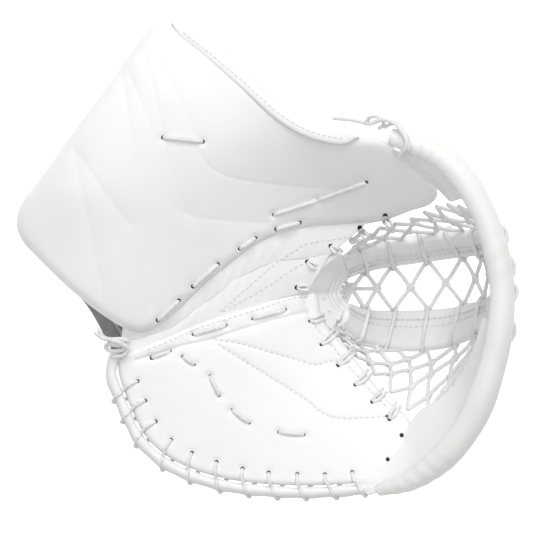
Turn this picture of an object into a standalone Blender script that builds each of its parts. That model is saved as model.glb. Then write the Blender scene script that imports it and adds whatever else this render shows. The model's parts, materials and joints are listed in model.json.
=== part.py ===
"""Goalie catch glove, lying on its back with the pocket open upwards.

+X runs from the cuff to the pocket's rim, +Y to the thumb, and +Z out of the pocket. The origin is under
the middle of the glove, on the surface it lies on. Outlines and routes are lists in millimetres.
"""

import math

import bmesh
import bpy
import numpy as np
from mathutils import Matrix, Vector

MM = 0.001
PART = "goalie_catch_glove"
LAYOUT_ORIGIN = (-1.2, -3.65, 0.0)

# Leather and foam
BOARD_THICK = 20.0
PALM_THICK = 12.0
LINER_THICK = 4.0
SKIN_THICK = 3.0
GAP = 0.4

# Laces
LACE_RADIUS = 1.7
HOLE_RADIUS = 2.4
LACE_LIFT = LACE_RADIUS + 0.7

# The crease that the glove folds on when it closes
CREASE_START = (-112.0, -66.0, 88.0)

# Materials: colour, roughness
LEATHER_WHITE = ("leather_white", (0.86, 0.86, 0.85), 0.42)
PALM_WHITE = ("palm_white", (0.9, 0.9, 0.9), 0.5)
RIM_WHITE = ("rim_white", (0.87, 0.86, 0.84), 0.45)
LACE_WHITE = ("lace_white", (0.88, 0.88, 0.87), 0.6)
LINER_GREY = ("liner_grey", (0.2, 0.21, 0.23), 0.9)
STRAP_BLACK = ("strap_black", (0.05, 0.05, 0.055), 0.8)
BUCKLE_BLACK = ("buckle_black", (0.03, 0.03, 0.03), 0.4)

# Cuff and thumb board: the plan outline, and the heights its face passes through
BOARD_OUTLINE = [
    (-72, 179), (-57, 168), (-43, 157), (-13, 131), (10, 110), (31, 97), (52, 91), (70, 90), (88, 88),
    (98, 80), (110, 70), (122, 60), (130, 51), (130, 44), (123, 38), (112, 35), (93, 28), (71, 24),
    (45, 23), (18, 19), (-4, 10), (-25, -4), (-52, -27), (-71, -45), (-88, -57), (-103, -58),
    (-123, -47), (-151, -25), (-180, 3), (-189, 13), (-192, 27), (-187, 42), (-169, 65), (-142, 102),
    (-115, 139), (-92, 172), (-83, 180),
]
BOARD_CENTRE = (-30, 62)
BOARD_HEIGHTS = [
    (-72, 179, 112), (-43, 157, 120), (-13, 131, 129), (31, 97, 140), (70, 90, 152), (88, 88, 160),
    (110, 70, 155), (130, 50, 142), (112, 35, 119), (93, 28, 106), (71, 24, 96), (45, 23, 93), (18, 19, 93),
    (-25, -4, 94), (-52, -27, 95), (-71, -45, 96), (-95, -57, 98), (-123, -47, 103), (-151, -25, 106),
    (-185, 6, 103), (-192, 27, 106), (-169, 65, 116), (-142, 102, 121), (-115, 139, 118), (-90, 174, 113),
    (-150, 50, 121), (-120, 95, 125), (-80, 130, 125), (-60, 90, 126), (-110, 20, 117), (-60, 30, 113),
    (-100, -15, 109), (-20, 90, 126), (0, 60, 113), (40, 62, 120), (80, 60, 134), (-10, 30, 100),
    (105, 52, 140),
]

# Palm: the finger half of the catching face
PALM_OUTLINE = [
    (-112, -76), (-90, -67), (-76, -61), (-54, -51), (-35, -45), (-8, -37), (20, -28), (36, -26), (41, -33),
    (43, -46), (50, -57), (60, -67), (76, -88), (96, -112), (108, -122), (114, -135), (112, -150),
    (100, -163), (80, -172), (52, -175), (18, -176), (-21, -173), (-51, -166), (-75, -155), (-92, -140),
    (-101, -124), (-110, -103), (-114, -88),
]
PALM_CENTRE = (-5, -105)
PALM_HEIGHTS = [
    (-112, -76, 91), (-76, -61, 88), (-35, -45, 84), (20, -28, 75), (41, -33, 70), (50, -57, 71), (76, -88, 76),
    (96, -112, 86), (114, -135, 102), (112, -150, 111), (80, -172, 113), (52, -175, 106), (18, -176, 101),
    (-21, -173, 97), (-51, -166, 95), (-92, -140, 92), (-112, -95, 90), (-60, -100, 91), (-20, -95, 88),
    (20, -80, 82), (-20, -140, 94), (40, -135, 94), (60, -105, 84), (85, -140, 98), (0, -55, 83),
]

# Break gusset: the soft strip between board and palm
GUSSET_BOARD_EDGE = [
    (-80, -56, 86), (-66, -47, 86), (-47, -30, 86), (-21, -9, 86), (1, 4, 86), (21, 14, 86), (44, 18, 86),
    (66, 17, 88),
]
GUSSET_PALM_EDGE = [
    (-78, -58.5, 85), (-64, -52.5, 84), (-46, -44.5, 82), (-29, -39.5, 80), (-5, -32, 77), (13, -26, 75),
    (26, -22, 73), (38, -20, 71),
]

# Palm edge: two welts stacked under the palm's rim, and the holes that lace them on
WELT_RADII = (3.6, 4.0)
WELT_OUT = (4.8, 6.2)
WELT_DOWN = (3.6, 12.4)
PERIMETER = [
    (-114, -92), (-110, -103), (-101, -124), (-92, -140), (-75, -155), (-51, -166), (-21, -173), (18, -176),
    (52, -175), (80, -172),
]
PERIMETER_HOLES = [
    (-99, -96), (-93, -111), (-85, -127), (-73, -141), (-57, -151), (-38, -158), (-18, -163), (2, -166),
    (24, -167), (45, -167), (66, -165),
]
PERIMETER_LACE_SECTION = [(LACE_LIFT + 1.0, 4.2), (12.8, -3.0), (13.2, -15.0), (7.0, -21.0)]

# Rim: the padded roll over the top of the pocket, thumb tip to finger tip, with its radius
RIM_PATH = [
    (93, 89, 166), (114, 82, 172), (134, 70, 176), (150, 52, 179), (163, 27, 180), (171, 1, 180),
    (175, -26, 178), (173, -58, 175), (166, -90, 168), (154, -122, 158), (135, -149, 146), (112, -168, 132),
    (88, -181, 120),
]
RIM_RADIUS = [6.5, 8.5, 9.5, 9.5, 9.5, 9.5, 9.5, 9.8, 10.5, 11.0, 10.5, 8.5, 6.5]
RIM_RINGS = 37
RIM_SPLITS = (10, 20)

# The leather sheets that join the rim to the thumb's tip and to the finger tips
THUMB_FLAP_INNER = [(97, 80, 159), (110, 71, 155), (121, 62.5, 151), (131, 54, 146), (140, 44, 150)]
THUMB_FLAP_OUTER = [(103, 79, 163), (114, 74, 165), (126, 65, 167), (137, 55, 170), (146, 43, 171)]
FINGER_COVER_INNER = [
    (90, -177, 108), (106, -166, 106), (119, -148, 103), (122, -130, 101), (135, -112, 112), (149, -89, 128),
    (158, -65, 145), (162, -46, 158),
]
FINGER_COVER_OUTER = [
    (100, -172, 115), (114, -160, 121), (128, -146, 129), (139, -133, 138), (148, -115, 148), (156, -92, 157),
    (162, -66, 164), (165, -46, 167),
]

# Double T: two padded bars from the rim down into the pocket, joined by a curved base
UPPER_BAR_INNER = [
    (63, -17, 47), (74, -13, 32), (90, -9, 16), (114, -5, 6), (144, -1, 6), (165, 1, 24), (175, 2, 58),
    (177, 2, 105), (172, 1, 160),
]
UPPER_BAR_OUTER = [
    (57, -3, 62), (67, 4, 50), (85, 10, 35), (111, 15, 26), (140, 20, 26), (160, 21, 42), (171, 22, 70),
    (173, 22, 110), (166, 21, 160),
]
LOWER_BAR_INNER = [
    (63, -36, 47), (74, -40, 32), (90, -43, 16), (115, -43, 6), (146, -41, 6), (166, -36, 24), (178, -32, 58),
    (180, -31, 105), (175, -31, 160),
]
LOWER_BAR_OUTER = [
    (59, -52, 58), (68, -63, 45), (86, -71, 29), (115, -75, 19), (143, -72, 20), (164, -63, 38),
    (177, -54, 72), (180, -51, 112), (174, -51, 160),
]
BAR_THICK = 8.0
BASE_PATH = [(54.5, -12, 60), (50, -18, 61), (47.5, -27, 61.5), (50, -37, 60.5), (55, -43.5, 58)]

# Nets: laced webs between the board, the bars, the palm and the rim
NET_THICK = 3.0
THUMB_NET_EDGE = [
    (60, 14, 82), (73, 18, 86), (92, 23, 93), (112, 29, 106), (130, 38, 127), (143, 38, 148), (153, 33, 160),
    (158, 31, 166),
]
FINGER_NET_EDGE = [
    (47, -50, 60), (54, -64, 60), (76, -82, 61), (99, -107, 70), (120, -124, 86), (140, -103, 104),
    (153, -83, 121), (163, -66, 142), (167, -58, 160),
]
NET_INSET = 5.5

# Backhand: the padded cover over the back of the fingers; its lowest face is flat
BACKHAND_OUTLINE = [
    (-96, -82), (-70, -70), (-40, -60), (-8, -52), (18, -44), (30, -44), (34, -58), (50, -78), (66, -96),
    (84, -116), (96, -130), (96, -144), (82, -156), (50, -161), (18, -161), (-20, -158), (-46, -151),
    (-66, -141), (-82, -126), (-91, -108), (-97, -94),
]
BACKHAND_CENTRE = (-5, -105)
BACKHAND_WALL = 9.0
BACKHAND_RINGS = [(1.0, 0.98), (1.02, 0.72), (1.0, 0.45), (0.94, 0.22), (0.84, 0.06), (0.7, 0.0), (0.35, 0.0)]
HAND_OPENING_SIZE = (136, 60, 46)
HAND_OPENING_PLACE = (-56, -66, 47)
HAND_OPENING_TURN = 25.0
FINGER_WALLS = [(4, -125), (10, -104), (10, -83)]
FINGER_ALONG = (1, 0)
FINGER_WALL_SIZE = (54, 2, 42)
FINGER_WALL_LEVEL = 37

# Thumb stall, under the board
THUMB_STALL_PATH = [(2, 46, 66), (28, 55, 69), (54, 63, 76), (78, 70, 84)]
THUMB_STALL_RADII = (17.0, 14.0)
THUMB_PAD_RADII = (24.0, 21.0)

# Wrist closure, under the cuff
WRIST_CENTRE = (-82, 52)
WRIST_TURN = 48.0
STRAP_WIDTH = 38.0
STRAP_THICK = 3.0
STRAP_LOOP = [
    (-60, 79), (-66, 50), (-60, 20), (-44, 5.6), (-15, 0.6), (15, 0.6), (44, 5.6), (60, 20), (65, 38),
]
TAB_ROUTE = [(70, 44), (71, 34), (67, 20)]
TAB_AXIS = (70.0, 47.0)
KEEPER_ROUTE = [(65, 47), (64, 64), (58, 88)]
RING_SIZE = (42.0, 9.0)
RING_WIRE = 1.5
WRIST_PAD = [(-34, -28), (34, -28), (38, -20), (38, 20), (34, 28), (-34, 28), (-38, 20), (-38, -20)]
WRIST_PAD_TOP = 21.5
WRIST_PAD_THICK = 12.0
HAND_STRAP = [
    (-104, -62, 46), (-99, -54, 26), (-76, -42, 12), (-44, -31, 8), (-12, -22, 12), (8, -22, 27), (14, -27, 46),
]
HAND_STRAP_WIDTH = 20.0

# Heel gusset: the soft wall from the cuff's lower edge down to the backhand
HEEL_GUSSET_TOP = [(-147, -22, 80), (-124, -42, 78), (-109, -60, 74), (-107, -84, 72)]
HEEL_GUSSET_FOOT = [(-156, -32, 32), (-139, -54, 29), (-122, -82, 28), (-112, -102, 29)]

# Laces that lie outside the leather
HEEL_LACE = [
    (-131, -58, 108), (-123, -63, 105), (-109, -63.5, 102), (-106, -66, 100), (-111, -68.2, 99),
    (-121, -67.6, 98), (-123, -70, 97), (-119, -72.6, 96), (-108, -72, 96),
]
THUMB_TIP_LACE = [
    (50, 104, 140), (60, 103, 146), (70, 101, 152), (77, 99, 157), (84, 101, 162), (90, 101, 170), (97, 97, 177),
    (103, 88, 181), (106, 78, 179),
]
RIM_LACE_TURNS = 5
RIM_LACE_SPAN = (0.295, 0.455)

# Lace holes in the board and the palm, and how far a hole's cutter runs past each face
BREAK_HOLES = [(-83, -49), (-67, -34), (-56, -23), (-37, -6), (-20, 6), (-8, 14), (8, 21), (26, 26)]
THUMB_HOLES = [(6, 32), (40, 43), (76, 56)]
CUFF_HOLES = [(-78, 90), (-48, 87)]
PALM_HOLES = [
    (-88, -78), (-74, -73), (-64, -77), (-55, -83), (-43, -92), (-36, -107), (-26, -118), (-13, -128),
    (10, -135), (29, -137),
]
STRIP_HOLES = [(-56, -60), (-31, -53), (-10, -48), (15, -41)]
POCKET_HOLES = [(34, -50), (43, -68), (56, -84), (69, -99), (82, -112), (95, -125)]
HOLE_OVERRUN = 8.0
HOLE_SIDES = 8
STITCH_RISE = 0.6

# Band along the board's thumb-side edge: its section outward from the edge and below the board's face
SIDE_BAND_SPAN = 8
SIDE_BAND_SECTION = [(1.2, -3), (3.5, -1.5), (5.6, -4), (5.6, -17), (3.5, -19.5), (1.2, -18)]

# Linings: outlines or shares of the backhand's outline, and the clearance above each
CUFF_LINER_OUTLINE = [
    (-78, 168), (-25, 124), (-10, 100), (-20, 60), (-35, 10), (-62, -22), (-92, -44), (-118, -38),
    (-172, 6), (-180, 28), (-138, 94), (-100, 146),
]
CUFF_LINER_CENTRE = (-85, 55)
CUFF_LINER_CLEAR = 2.6
PALM_LINER_SHARE = 0.76
PALM_LINER_CLEAR = 6.4
BACKHAND_FOAM_SHARE = 0.66
BACKHAND_FOAM_TOP = 13.6
BACKHAND_CLEAR = 4.5
THUMB_STALL_WALL = 2.0
THUMB_STALL_TIP = 0.4
THUMB_PAD_ARC = (185.0, 355.0)
THUMB_PAD_CLEAR = 1.5
HAND_STRAP_ACROSS = (0.3, -0.95, 0.0)

# Section of the pocket's base, across its band and through it
BASE_SECTION = [(-7, -3), (-5, -4), (5, -4), (7, -3), (7, 3), (5, 4), (-5, 4), (-7, 3)]


def at(spot):
    """A layout point in millimetres as a world point in metres."""
    return Vector([(c - o) * MM for c, o in zip(spot, LAYOUT_ORIGIN)])


def clear_scene():
    for thing in list(bpy.data.objects):
        bpy.data.objects.remove(thing)


def new_collection(name, hidden):
    group = bpy.data.collections.new(name)
    bpy.context.scene.collection.children.link(group)
    group.hide_render = hidden
    return group


def joint_empty(name, spot):
    """An empty on a joint's axis, which the moving pieces hang from."""
    axis = bpy.data.objects.new(name, None)
    bpy.data.collections[PART].objects.link(axis)
    axis.location = at(spot)
    bpy.context.view_layer.update()
    return axis


def material(finish):
    name, colour, roughness = finish
    if name in bpy.data.materials:
        return bpy.data.materials[name]
    made = bpy.data.materials.new(name)
    made.use_nodes = True
    shader = made.node_tree.nodes["Principled BSDF"]
    shader.inputs["Base Color"].default_value = (*colour, 1)
    shader.inputs["Roughness"].default_value = roughness
    shader.inputs["Metallic"].default_value = 0
    return made


def place(name, data, finish, parent=None):
    made = bpy.data.objects.new(name, data)
    bpy.data.collections[PART].objects.link(made)
    data.materials.append(material(finish))
    if parent:
        made.parent = parent
        made.matrix_parent_inverse = parent.matrix_world.inverted()
    return made


def mesh_piece(name, points, faces, finish, parent=None):
    """A piece from points in millimetres, its faces turned outwards when it is closed."""
    data = bpy.data.meshes.new(name)
    data.from_pydata([at(p) for p in points], [], faces)
    shape = bmesh.new()
    shape.from_mesh(data)
    bmesh.ops.recalc_face_normals(shape, faces=shape.faces)
    shape.to_mesh(data)
    shape.free()
    data.shade_smooth()
    return place(name, data, finish, parent)


def smooth(points, count, closed=False):
    """Points evenly spaced along a smooth curve through the given ones."""
    given = np.array(points, float)
    total = len(given)
    if closed:
        padded = np.vstack([given[-1], given, given[:2]])
        spans = total
    else:
        padded = np.vstack([2 * given[0] - given[1], given, 2 * given[-1] - given[-2]])
        spans = total - 1
    fine = []
    for i in range(spans):
        a, b, c, d = padded[i : i + 4]
        for t in np.linspace(0, 1, 12, endpoint=False):
            fine.append(
                0.5 * (2 * b + (c - a) * t + (2 * a - 5 * b + 4 * c - d) * t**2 + (3 * b - a - 3 * c + d) * t**3)
            )
    fine.append(padded[spans + 1] if not closed else fine[0])
    fine = np.array(fine)
    along = np.concatenate([[0], np.cumsum(np.linalg.norm(np.diff(fine, axis=0), axis=1))])
    wanted = np.linspace(0, along[-1], count + 1)[:-1] if closed else np.linspace(0, along[-1], count)
    return np.stack([np.interp(wanted, along, fine[:, k]) for k in range(fine.shape[1])], axis=1)


def height_map(controls):
    """The smooth thin-plate surface z(x, y) through the control points."""
    given = np.array(controls, float)
    plan = given[:, :2] / 100

    def bend(distance):
        return distance**2 * np.log(distance + 1e-9)

    size = len(given)
    matrix = np.zeros((size + 3, size + 3))
    matrix[:size, :size] = bend(np.linalg.norm(plan[:, None] - plan[None], axis=2))
    matrix[:size, size:] = np.column_stack([np.ones(size), plan])
    matrix[size:, :size] = matrix[:size, size:].T
    weights = np.linalg.solve(matrix, np.concatenate([given[:, 2], np.zeros(3)]))

    def height(x, y):
        here = np.array([x, y], float) / 100
        near = bend(np.linalg.norm(plan - here, axis=1))
        return float(near @ weights[:size] + weights[size] + here @ weights[size + 1 :])

    return height


def loft(name, rings, finish, parent=None):
    """A closed solid through rings of equal length, its two ends closed by fans."""
    count = len(rings[0])
    points = [tuple(p) for ring in rings for p in ring]
    faces = []
    for r in range(len(rings) - 1):
        for i in range(count):
            j = (i + 1) % count
            faces.append((r * count + i, r * count + j, (r + 1) * count + j, (r + 1) * count + i))
    for start in (0, (len(rings) - 1) * count):
        points.append(tuple(np.mean(points[start : start + count], axis=0)))
        faces += [(start + i, start + (i + 1) % count, len(points) - 1) for i in range(count)]
    return mesh_piece(name, points, faces, finish, parent)


def panel(name, outline, centre, height, drop, thick, count, finish, parent=None, inner=(0.25, 0.5, 0.75, 0.92)):
    """A padded panel: its plan outline shrunk towards the centre, on a curved face, with rounded edges."""
    edge = smooth(outline, count, closed=True)
    middle = np.array(centre, float)
    steps = [(f, 0.0) for f in inner] + [(0.98, 0.04), (1.0, 0.3), (1.0, 0.7), (0.98, 0.96)]
    steps += [(f, 1.0) for f in reversed(inner)]
    rings = []
    for fraction, depth in steps:
        plan = middle + (edge - middle) * fraction
        rings.append([(x, y, height(x, y) - drop - depth * thick) for x, y in plan])
    return loft(name, rings, finish, parent)


def ribbon(name, edge_a, edge_b, along, across, thick, finish, parent=None, inset=0.0):
    """A sheet between two edges, given its thickness by Solidify."""
    a, b = smooth(edge_a, along), smooth(edge_b, along)
    reach = b - a
    step_in = reach / np.linalg.norm(reach, axis=1)[:, None] * inset
    a, b = a + step_in, b - step_in
    points = []
    for f in np.linspace(0, 1, across):
        points += [tuple(p) for p in a + (b - a) * f]
    faces = []
    for r in range(across - 1):
        for i in range(along - 1):
            start = r * along + i
            faces.append((start, start + 1, start + along + 1, start + along))
    made = mesh_piece(name, points, faces, finish, parent)
    wall = made.modifiers.new("wall", "SOLIDIFY")
    wall.thickness = thick * MM
    wall.offset = 0
    return made


def frames(path):
    """For each point of a path, its direction and two directions across it, the first level."""
    ahead = np.gradient(path, axis=0)
    ahead /= np.linalg.norm(ahead, axis=1)[:, None]
    side = np.cross([0, 0, 1], ahead)
    side /= np.linalg.norm(side, axis=1)[:, None]
    return ahead, side, np.cross(ahead, side)


def tube_rings(path, radii, sides):
    _, side, over = frames(path)
    turns = np.arange(sides) * 2 * math.pi / sides
    return [
        [p + r * (math.cos(t) * s + math.sin(t) * o) for t in turns]
        for p, s, o, r in zip(path, side, over, radii)
    ]


def cord(name, route, radius, finish, parent=None):
    """A round cord along hand-placed points."""
    data = bpy.data.curves.new(name, "CURVE")
    data.dimensions = "3D"
    data.bevel_depth = radius * MM
    data.bevel_resolution = 2
    data.use_fill_caps = True
    line = data.splines.new("POLY")
    line.points.add(len(route) - 1)
    for point, spot in zip(line.points, route):
        point.co = (*at(spot), 1)
    return place(name, data, finish, parent)


def cut(piece, cutters):
    """Takes every cutter out of a piece with one Boolean."""
    helper = bpy.data.collections["cutters"]
    data = bpy.data.meshes.new(piece.name + "_cutter")
    shape = bmesh.new()
    for radius, start, end in cutters:
        start, end = at(start), at(end)
        turn = (end - start).to_track_quat("Z", "Y").to_matrix().to_4x4()
        spot = Matrix.Translation((start + end) / 2) @ turn
        length = (end - start).length
        bmesh.ops.create_cone(
            shape, cap_ends=True, segments=HOLE_SIDES, radius1=radius * MM, radius2=radius * MM, depth=length,
            matrix=spot,
        )
    shape.to_mesh(data)
    shape.free()
    cutter = bpy.data.objects.new(piece.name + "_cutter", data)
    helper.objects.link(cutter)
    cutter.hide_render = True
    cutter.display_type = "WIRE"
    boolean = piece.modifiers.new("lace_holes", "BOOLEAN")
    boolean.object = cutter
    boolean.operation = "DIFFERENCE"


def upright_holes(spots, height, thick):
    """Cutters for lace holes straight down through a panel."""
    return [
        (HOLE_RADIUS, (x, y, height(x, y) + HOLE_OVERRUN), (x, y, height(x, y) - thick - HOLE_OVERRUN))
        for x, y in spots
    ]


def running_stitch(spots, height, thick):
    """A lace that comes up and goes down through the holes in turn, following the panel between them."""
    route = []
    over = True
    for k, (x, y) in enumerate(spots):
        top, under = height(x, y) + LACE_LIFT, height(x, y) - thick - LACE_LIFT
        route += [(x, y, under), (x, y, top)] if over else [(x, y, top), (x, y, under)]
        if k + 1 < len(spots):
            next_x, next_y = spots[k + 1]
            for f in (0.33, 0.67):
                mid_x, mid_y = x + (next_x - x) * f, y + (next_y - y) * f
                lift = LACE_LIFT + STITCH_RISE if over else -thick - LACE_LIFT - STITCH_RISE
                route.append((mid_x, mid_y, height(mid_x, mid_y) + lift))
        over = not over
    return route


def build_board(parent, height):
    board = panel(
        "cuff_thumb_board", BOARD_OUTLINE, BOARD_CENTRE, height, 0, BOARD_THICK, 56, LEATHER_WHITE, parent
    )
    cut(board, upright_holes(BREAK_HOLES + THUMB_HOLES + CUFF_HOLES, height, BOARD_THICK))
    for name, holes in (("break_lace", BREAK_HOLES), ("thumb_lace", THUMB_HOLES), ("cuff_lace", CUFF_HOLES)):
        cord(name, running_stitch(holes, height, BOARD_THICK), LACE_RADIUS, LACE_WHITE, parent)
    edge = smooth(BOARD_OUTLINE[:SIDE_BAND_SPAN], 16)
    ahead = np.gradient(edge, axis=0)
    out = np.stack([-ahead[:, 1], ahead[:, 0]], axis=1)
    out /= np.linalg.norm(out, axis=1)[:, None]
    rings = []
    for (x, y), (nx, ny) in zip(edge, out):
        top = height(x, y)
        rings.append([(x + nx * u, y + ny * u, top + w) for u, w in SIDE_BAND_SECTION])
    loft("cuff_side_wall", rings, LEATHER_WHITE, parent)


def build_cuff_back(parent, height):
    drop = BOARD_THICK + GAP + 2 * LACE_RADIUS + CUFF_LINER_CLEAR
    panel(
        "cuff_liner", CUFF_LINER_OUTLINE, CUFF_LINER_CENTRE, height, drop, LINER_THICK, 32, LINER_GREY, parent,
        inner=(0.4, 0.8),
    )
    path = smooth(THUMB_STALL_PATH, 7)
    _, side, over = frames(path)
    turns = np.arange(14) * 2 * math.pi / 14
    wide, tall = THUMB_STALL_RADII
    rows = []
    for p, s, o in zip(path, side, over):
        rows.append([p + wide * math.cos(t) * s + tall * math.sin(t) * o for t in turns])
    tip = tuple(path[-1] + (path[-1] - path[-2]) * THUMB_STALL_TIP)
    points = [tuple(q) for row in rows for q in row] + [tip]
    faces = []
    for r in range(len(rows) - 1):
        for i in range(14):
            j = (i + 1) % 14
            faces.append((r * 14 + i, r * 14 + j, (r + 1) * 14 + j, (r + 1) * 14 + i))
    last = (len(rows) - 1) * 14
    faces += [(last + i, last + (i + 1) % 14, len(points) - 1) for i in range(14)]
    stall = mesh_piece("thumb_stall", points, faces, LINER_GREY, parent)
    wall = stall.modifiers.new("wall", "SOLIDIFY")
    wall.thickness = THUMB_STALL_WALL * MM
    wall.offset = -1
    wide, tall = THUMB_PAD_RADII
    arc = np.radians(np.linspace(*THUMB_PAD_ARC, 10))
    inner_wide, inner_tall = (radius + THUMB_PAD_CLEAR for radius in THUMB_STALL_RADII)
    rings = []
    for p, s, o in zip(path, side, over):
        ring = [p + wide * math.cos(t) * s + tall * math.sin(t) * o for t in arc]
        ring += [p + inner_wide * math.cos(t) * s + inner_tall * math.sin(t) * o for t in reversed(arc)]
        rings.append(ring)
    loft_c("thumb_back_pad", rings, LEATHER_WHITE, parent)


def loft_c(name, rings, finish, parent=None):
    """A closed solid through C-shaped rings, whose ends are closed by strips across the C."""
    count = len(rings[0])
    half = count // 2
    points = [tuple(p) for ring in rings for p in ring]
    faces = []
    for r in range(len(rings) - 1):
        for i in range(count):
            j = (i + 1) % count
            faces.append((r * count + i, r * count + j, (r + 1) * count + j, (r + 1) * count + i))
    for start in (0, (len(rings) - 1) * count):
        for i in range(half - 1):
            faces.append((start + i, start + i + 1, start + count - 2 - i, start + count - 1 - i))
    return mesh_piece(name, points, faces, finish, parent)


def wrist_point(across, forward, z):
    """A point of the wrist closure: across the forearm, along it towards the hand, and up."""
    turn = math.radians(WRIST_TURN)
    x = WRIST_CENTRE[0] + across * math.cos(turn) + forward * math.sin(turn)
    y = WRIST_CENTRE[1] + across * math.sin(turn) - forward * math.cos(turn)
    return (x, y, z)


def strap(name, loop, count, width, thick, lift, finish, parent):
    """A flat strap along a route across the forearm."""
    route = smooth(loop, count)
    ahead = np.gradient(route, axis=0)
    ahead /= np.linalg.norm(ahead, axis=1)[:, None]
    inward = np.stack([ahead[:, 1], -ahead[:, 0]], axis=1)
    rings = []
    for (u, z), (nu, nz) in zip(route, inward):
        low, high = (u, z + lift), (u - nu * thick, z + lift - nz * thick)
        ring = []
        for (across, up), forward in ((low, -1), (low, 1), (high, 1), (high, -1)):
            ring.append(wrist_point(across, forward * width / 2, up))
        rings.append(ring)
    return loft(name, rings, finish, parent)


def build_palm(parent, height):
    palm = panel("palm_face", PALM_OUTLINE, PALM_CENTRE, height, 0, PALM_THICK, 52, PALM_WHITE, parent)
    cut(palm, upright_holes(PERIMETER_HOLES + PALM_HOLES + STRIP_HOLES + POCKET_HOLES, height, PALM_THICK))
    for name, holes in (("palm_lace", PALM_HOLES), ("strip_lace", STRIP_HOLES), ("pocket_lace", POCKET_HOLES)):
        cord(name, running_stitch(holes, height, PALM_THICK), LACE_RADIUS, LACE_WHITE, parent)


def perimeter_frames(height, count):
    edge = smooth(PERIMETER, count)
    ahead = np.gradient(edge, axis=0)
    out = np.stack([ahead[:, 1], -ahead[:, 0]], axis=1)
    out /= np.linalg.norm(out, axis=1)[:, None]
    return edge, -out if (out @ np.array([0, 1])).mean() > 0 else out


def build_edge(parent, height):
    edge, out = perimeter_frames(height, 26)
    for name, radius, away, down in zip(("edge_welt_upper", "edge_welt_lower"), WELT_RADII, WELT_OUT, WELT_DOWN):
        path = np.array(
            [(x + nx * away, y + ny * away, height(x, y) - down) for (x, y), (nx, ny) in zip(edge, out)]
        )
        loft(name, tube_rings(path, [radius] * len(path), 8), PALM_WHITE, parent)
    route = []
    for x, y in PERIMETER_HOLES:
        nearest = np.argmin(np.linalg.norm(edge - (x, y), axis=1))
        (ex, ey), (nx, ny) = edge[nearest], out[nearest]
        top = height(x, y)
        rim = height(ex, ey)
        route += [(x, y, top - PALM_THICK - LACE_LIFT), (x, y, top + LACE_LIFT)]
        route += [(ex + nx * u, ey + ny * u, rim + w) for u, w in PERIMETER_LACE_SECTION]
    cord("perimeter_lace", route[:-1], LACE_RADIUS, LACE_WHITE, parent)


def build_backhand(parent, height):
    edge = smooth(BACKHAND_OUTLINE, 40, closed=True)
    middle = np.array(BACKHAND_CENTRE, float)
    points, faces = [], []
    for fraction, level in BACKHAND_RINGS:
        for x, y in middle + (edge - middle) * fraction:
            on_edge = middle + (np.array([x, y]) - middle) / fraction
            rim = height(*on_edge) - PALM_THICK - GAP - BACKHAND_CLEAR
            points.append((x, y, rim * level / BACKHAND_RINGS[0][1]))
    count = len(edge)
    for r in range(len(BACKHAND_RINGS) - 1):
        for i in range(count):
            j = (i + 1) % count
            faces.append((r * count + i, r * count + j, (r + 1) * count + j, (r + 1) * count + i))
    last = (len(BACKHAND_RINGS) - 1) * count
    points.append((*BACKHAND_CENTRE, 0.0))
    faces += [(last + i, last + (i + 1) % count, len(points) - 1) for i in range(count)]
    cover = mesh_piece("backhand_cover", points, faces, LEATHER_WHITE, parent)
    wall = cover.modifiers.new("wall", "SOLIDIFY")
    wall.thickness = BACKHAND_WALL * MM
    wall.offset = -1
    data = bpy.data.meshes.new("hand_opening")
    shape = bmesh.new()
    turn = Matrix.Rotation(math.radians(HAND_OPENING_TURN), 4, "Z")
    size = Matrix.Diagonal((*(s * MM for s in HAND_OPENING_SIZE), 1))
    bmesh.ops.create_cube(shape, size=1, matrix=Matrix.Translation(at(HAND_OPENING_PLACE)) @ turn @ size)
    shape.to_mesh(data)
    shape.free()
    cutter = bpy.data.objects.new("hand_opening", data)
    bpy.data.collections["cutters"].objects.link(cutter)
    cutter.hide_render = True
    cutter.display_type = "WIRE"
    mouth = cover.modifiers.new("hand_opening", "BOOLEAN")
    mouth.object = cutter
    mouth.operation = "DIFFERENCE"


def build_pocket(pocket):
    bars = (
        ("t_bar_upper", UPPER_BAR_INNER, UPPER_BAR_OUTER),
        ("t_bar_lower", LOWER_BAR_INNER, LOWER_BAR_OUTER),
    )
    for name, inner, outer in bars:
        ribbon(name, inner, outer, 22, 3, BAR_THICK, LEATHER_WHITE, pocket)
    path = smooth(BASE_PATH, 11)
    _, side, over = frames(path)
    rings = [[p + s * u + o * w for u, w in BASE_SECTION] for p, s, o in zip(path, side, over)]
    loft("t_base", rings, LEATHER_WHITE, pocket)
    ribbon("net_centre", UPPER_BAR_INNER, LOWER_BAR_INNER, 20, 3, NET_THICK, LACE_WHITE, pocket, NET_INSET)
    ribbon("net_thumb", THUMB_NET_EDGE, UPPER_BAR_OUTER[1:], 20, 3, NET_THICK, LACE_WHITE, pocket, NET_INSET)
    ribbon("net_finger", FINGER_NET_EDGE, LOWER_BAR_OUTER, 20, 4, NET_THICK, LACE_WHITE, pocket, NET_INSET)


def box(name, size, place_at, turn, finish, parent):
    data = bpy.data.meshes.new(name)
    shape = bmesh.new()
    spot = Matrix.Translation(at(place_at)) @ Matrix.Rotation(turn, 4, "Z")
    bmesh.ops.create_cube(shape, size=1, matrix=spot @ Matrix.Diagonal((*(s * MM for s in size), 1)))
    shape.to_mesh(data)
    shape.free()
    return place(name, data, finish, parent)


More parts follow.
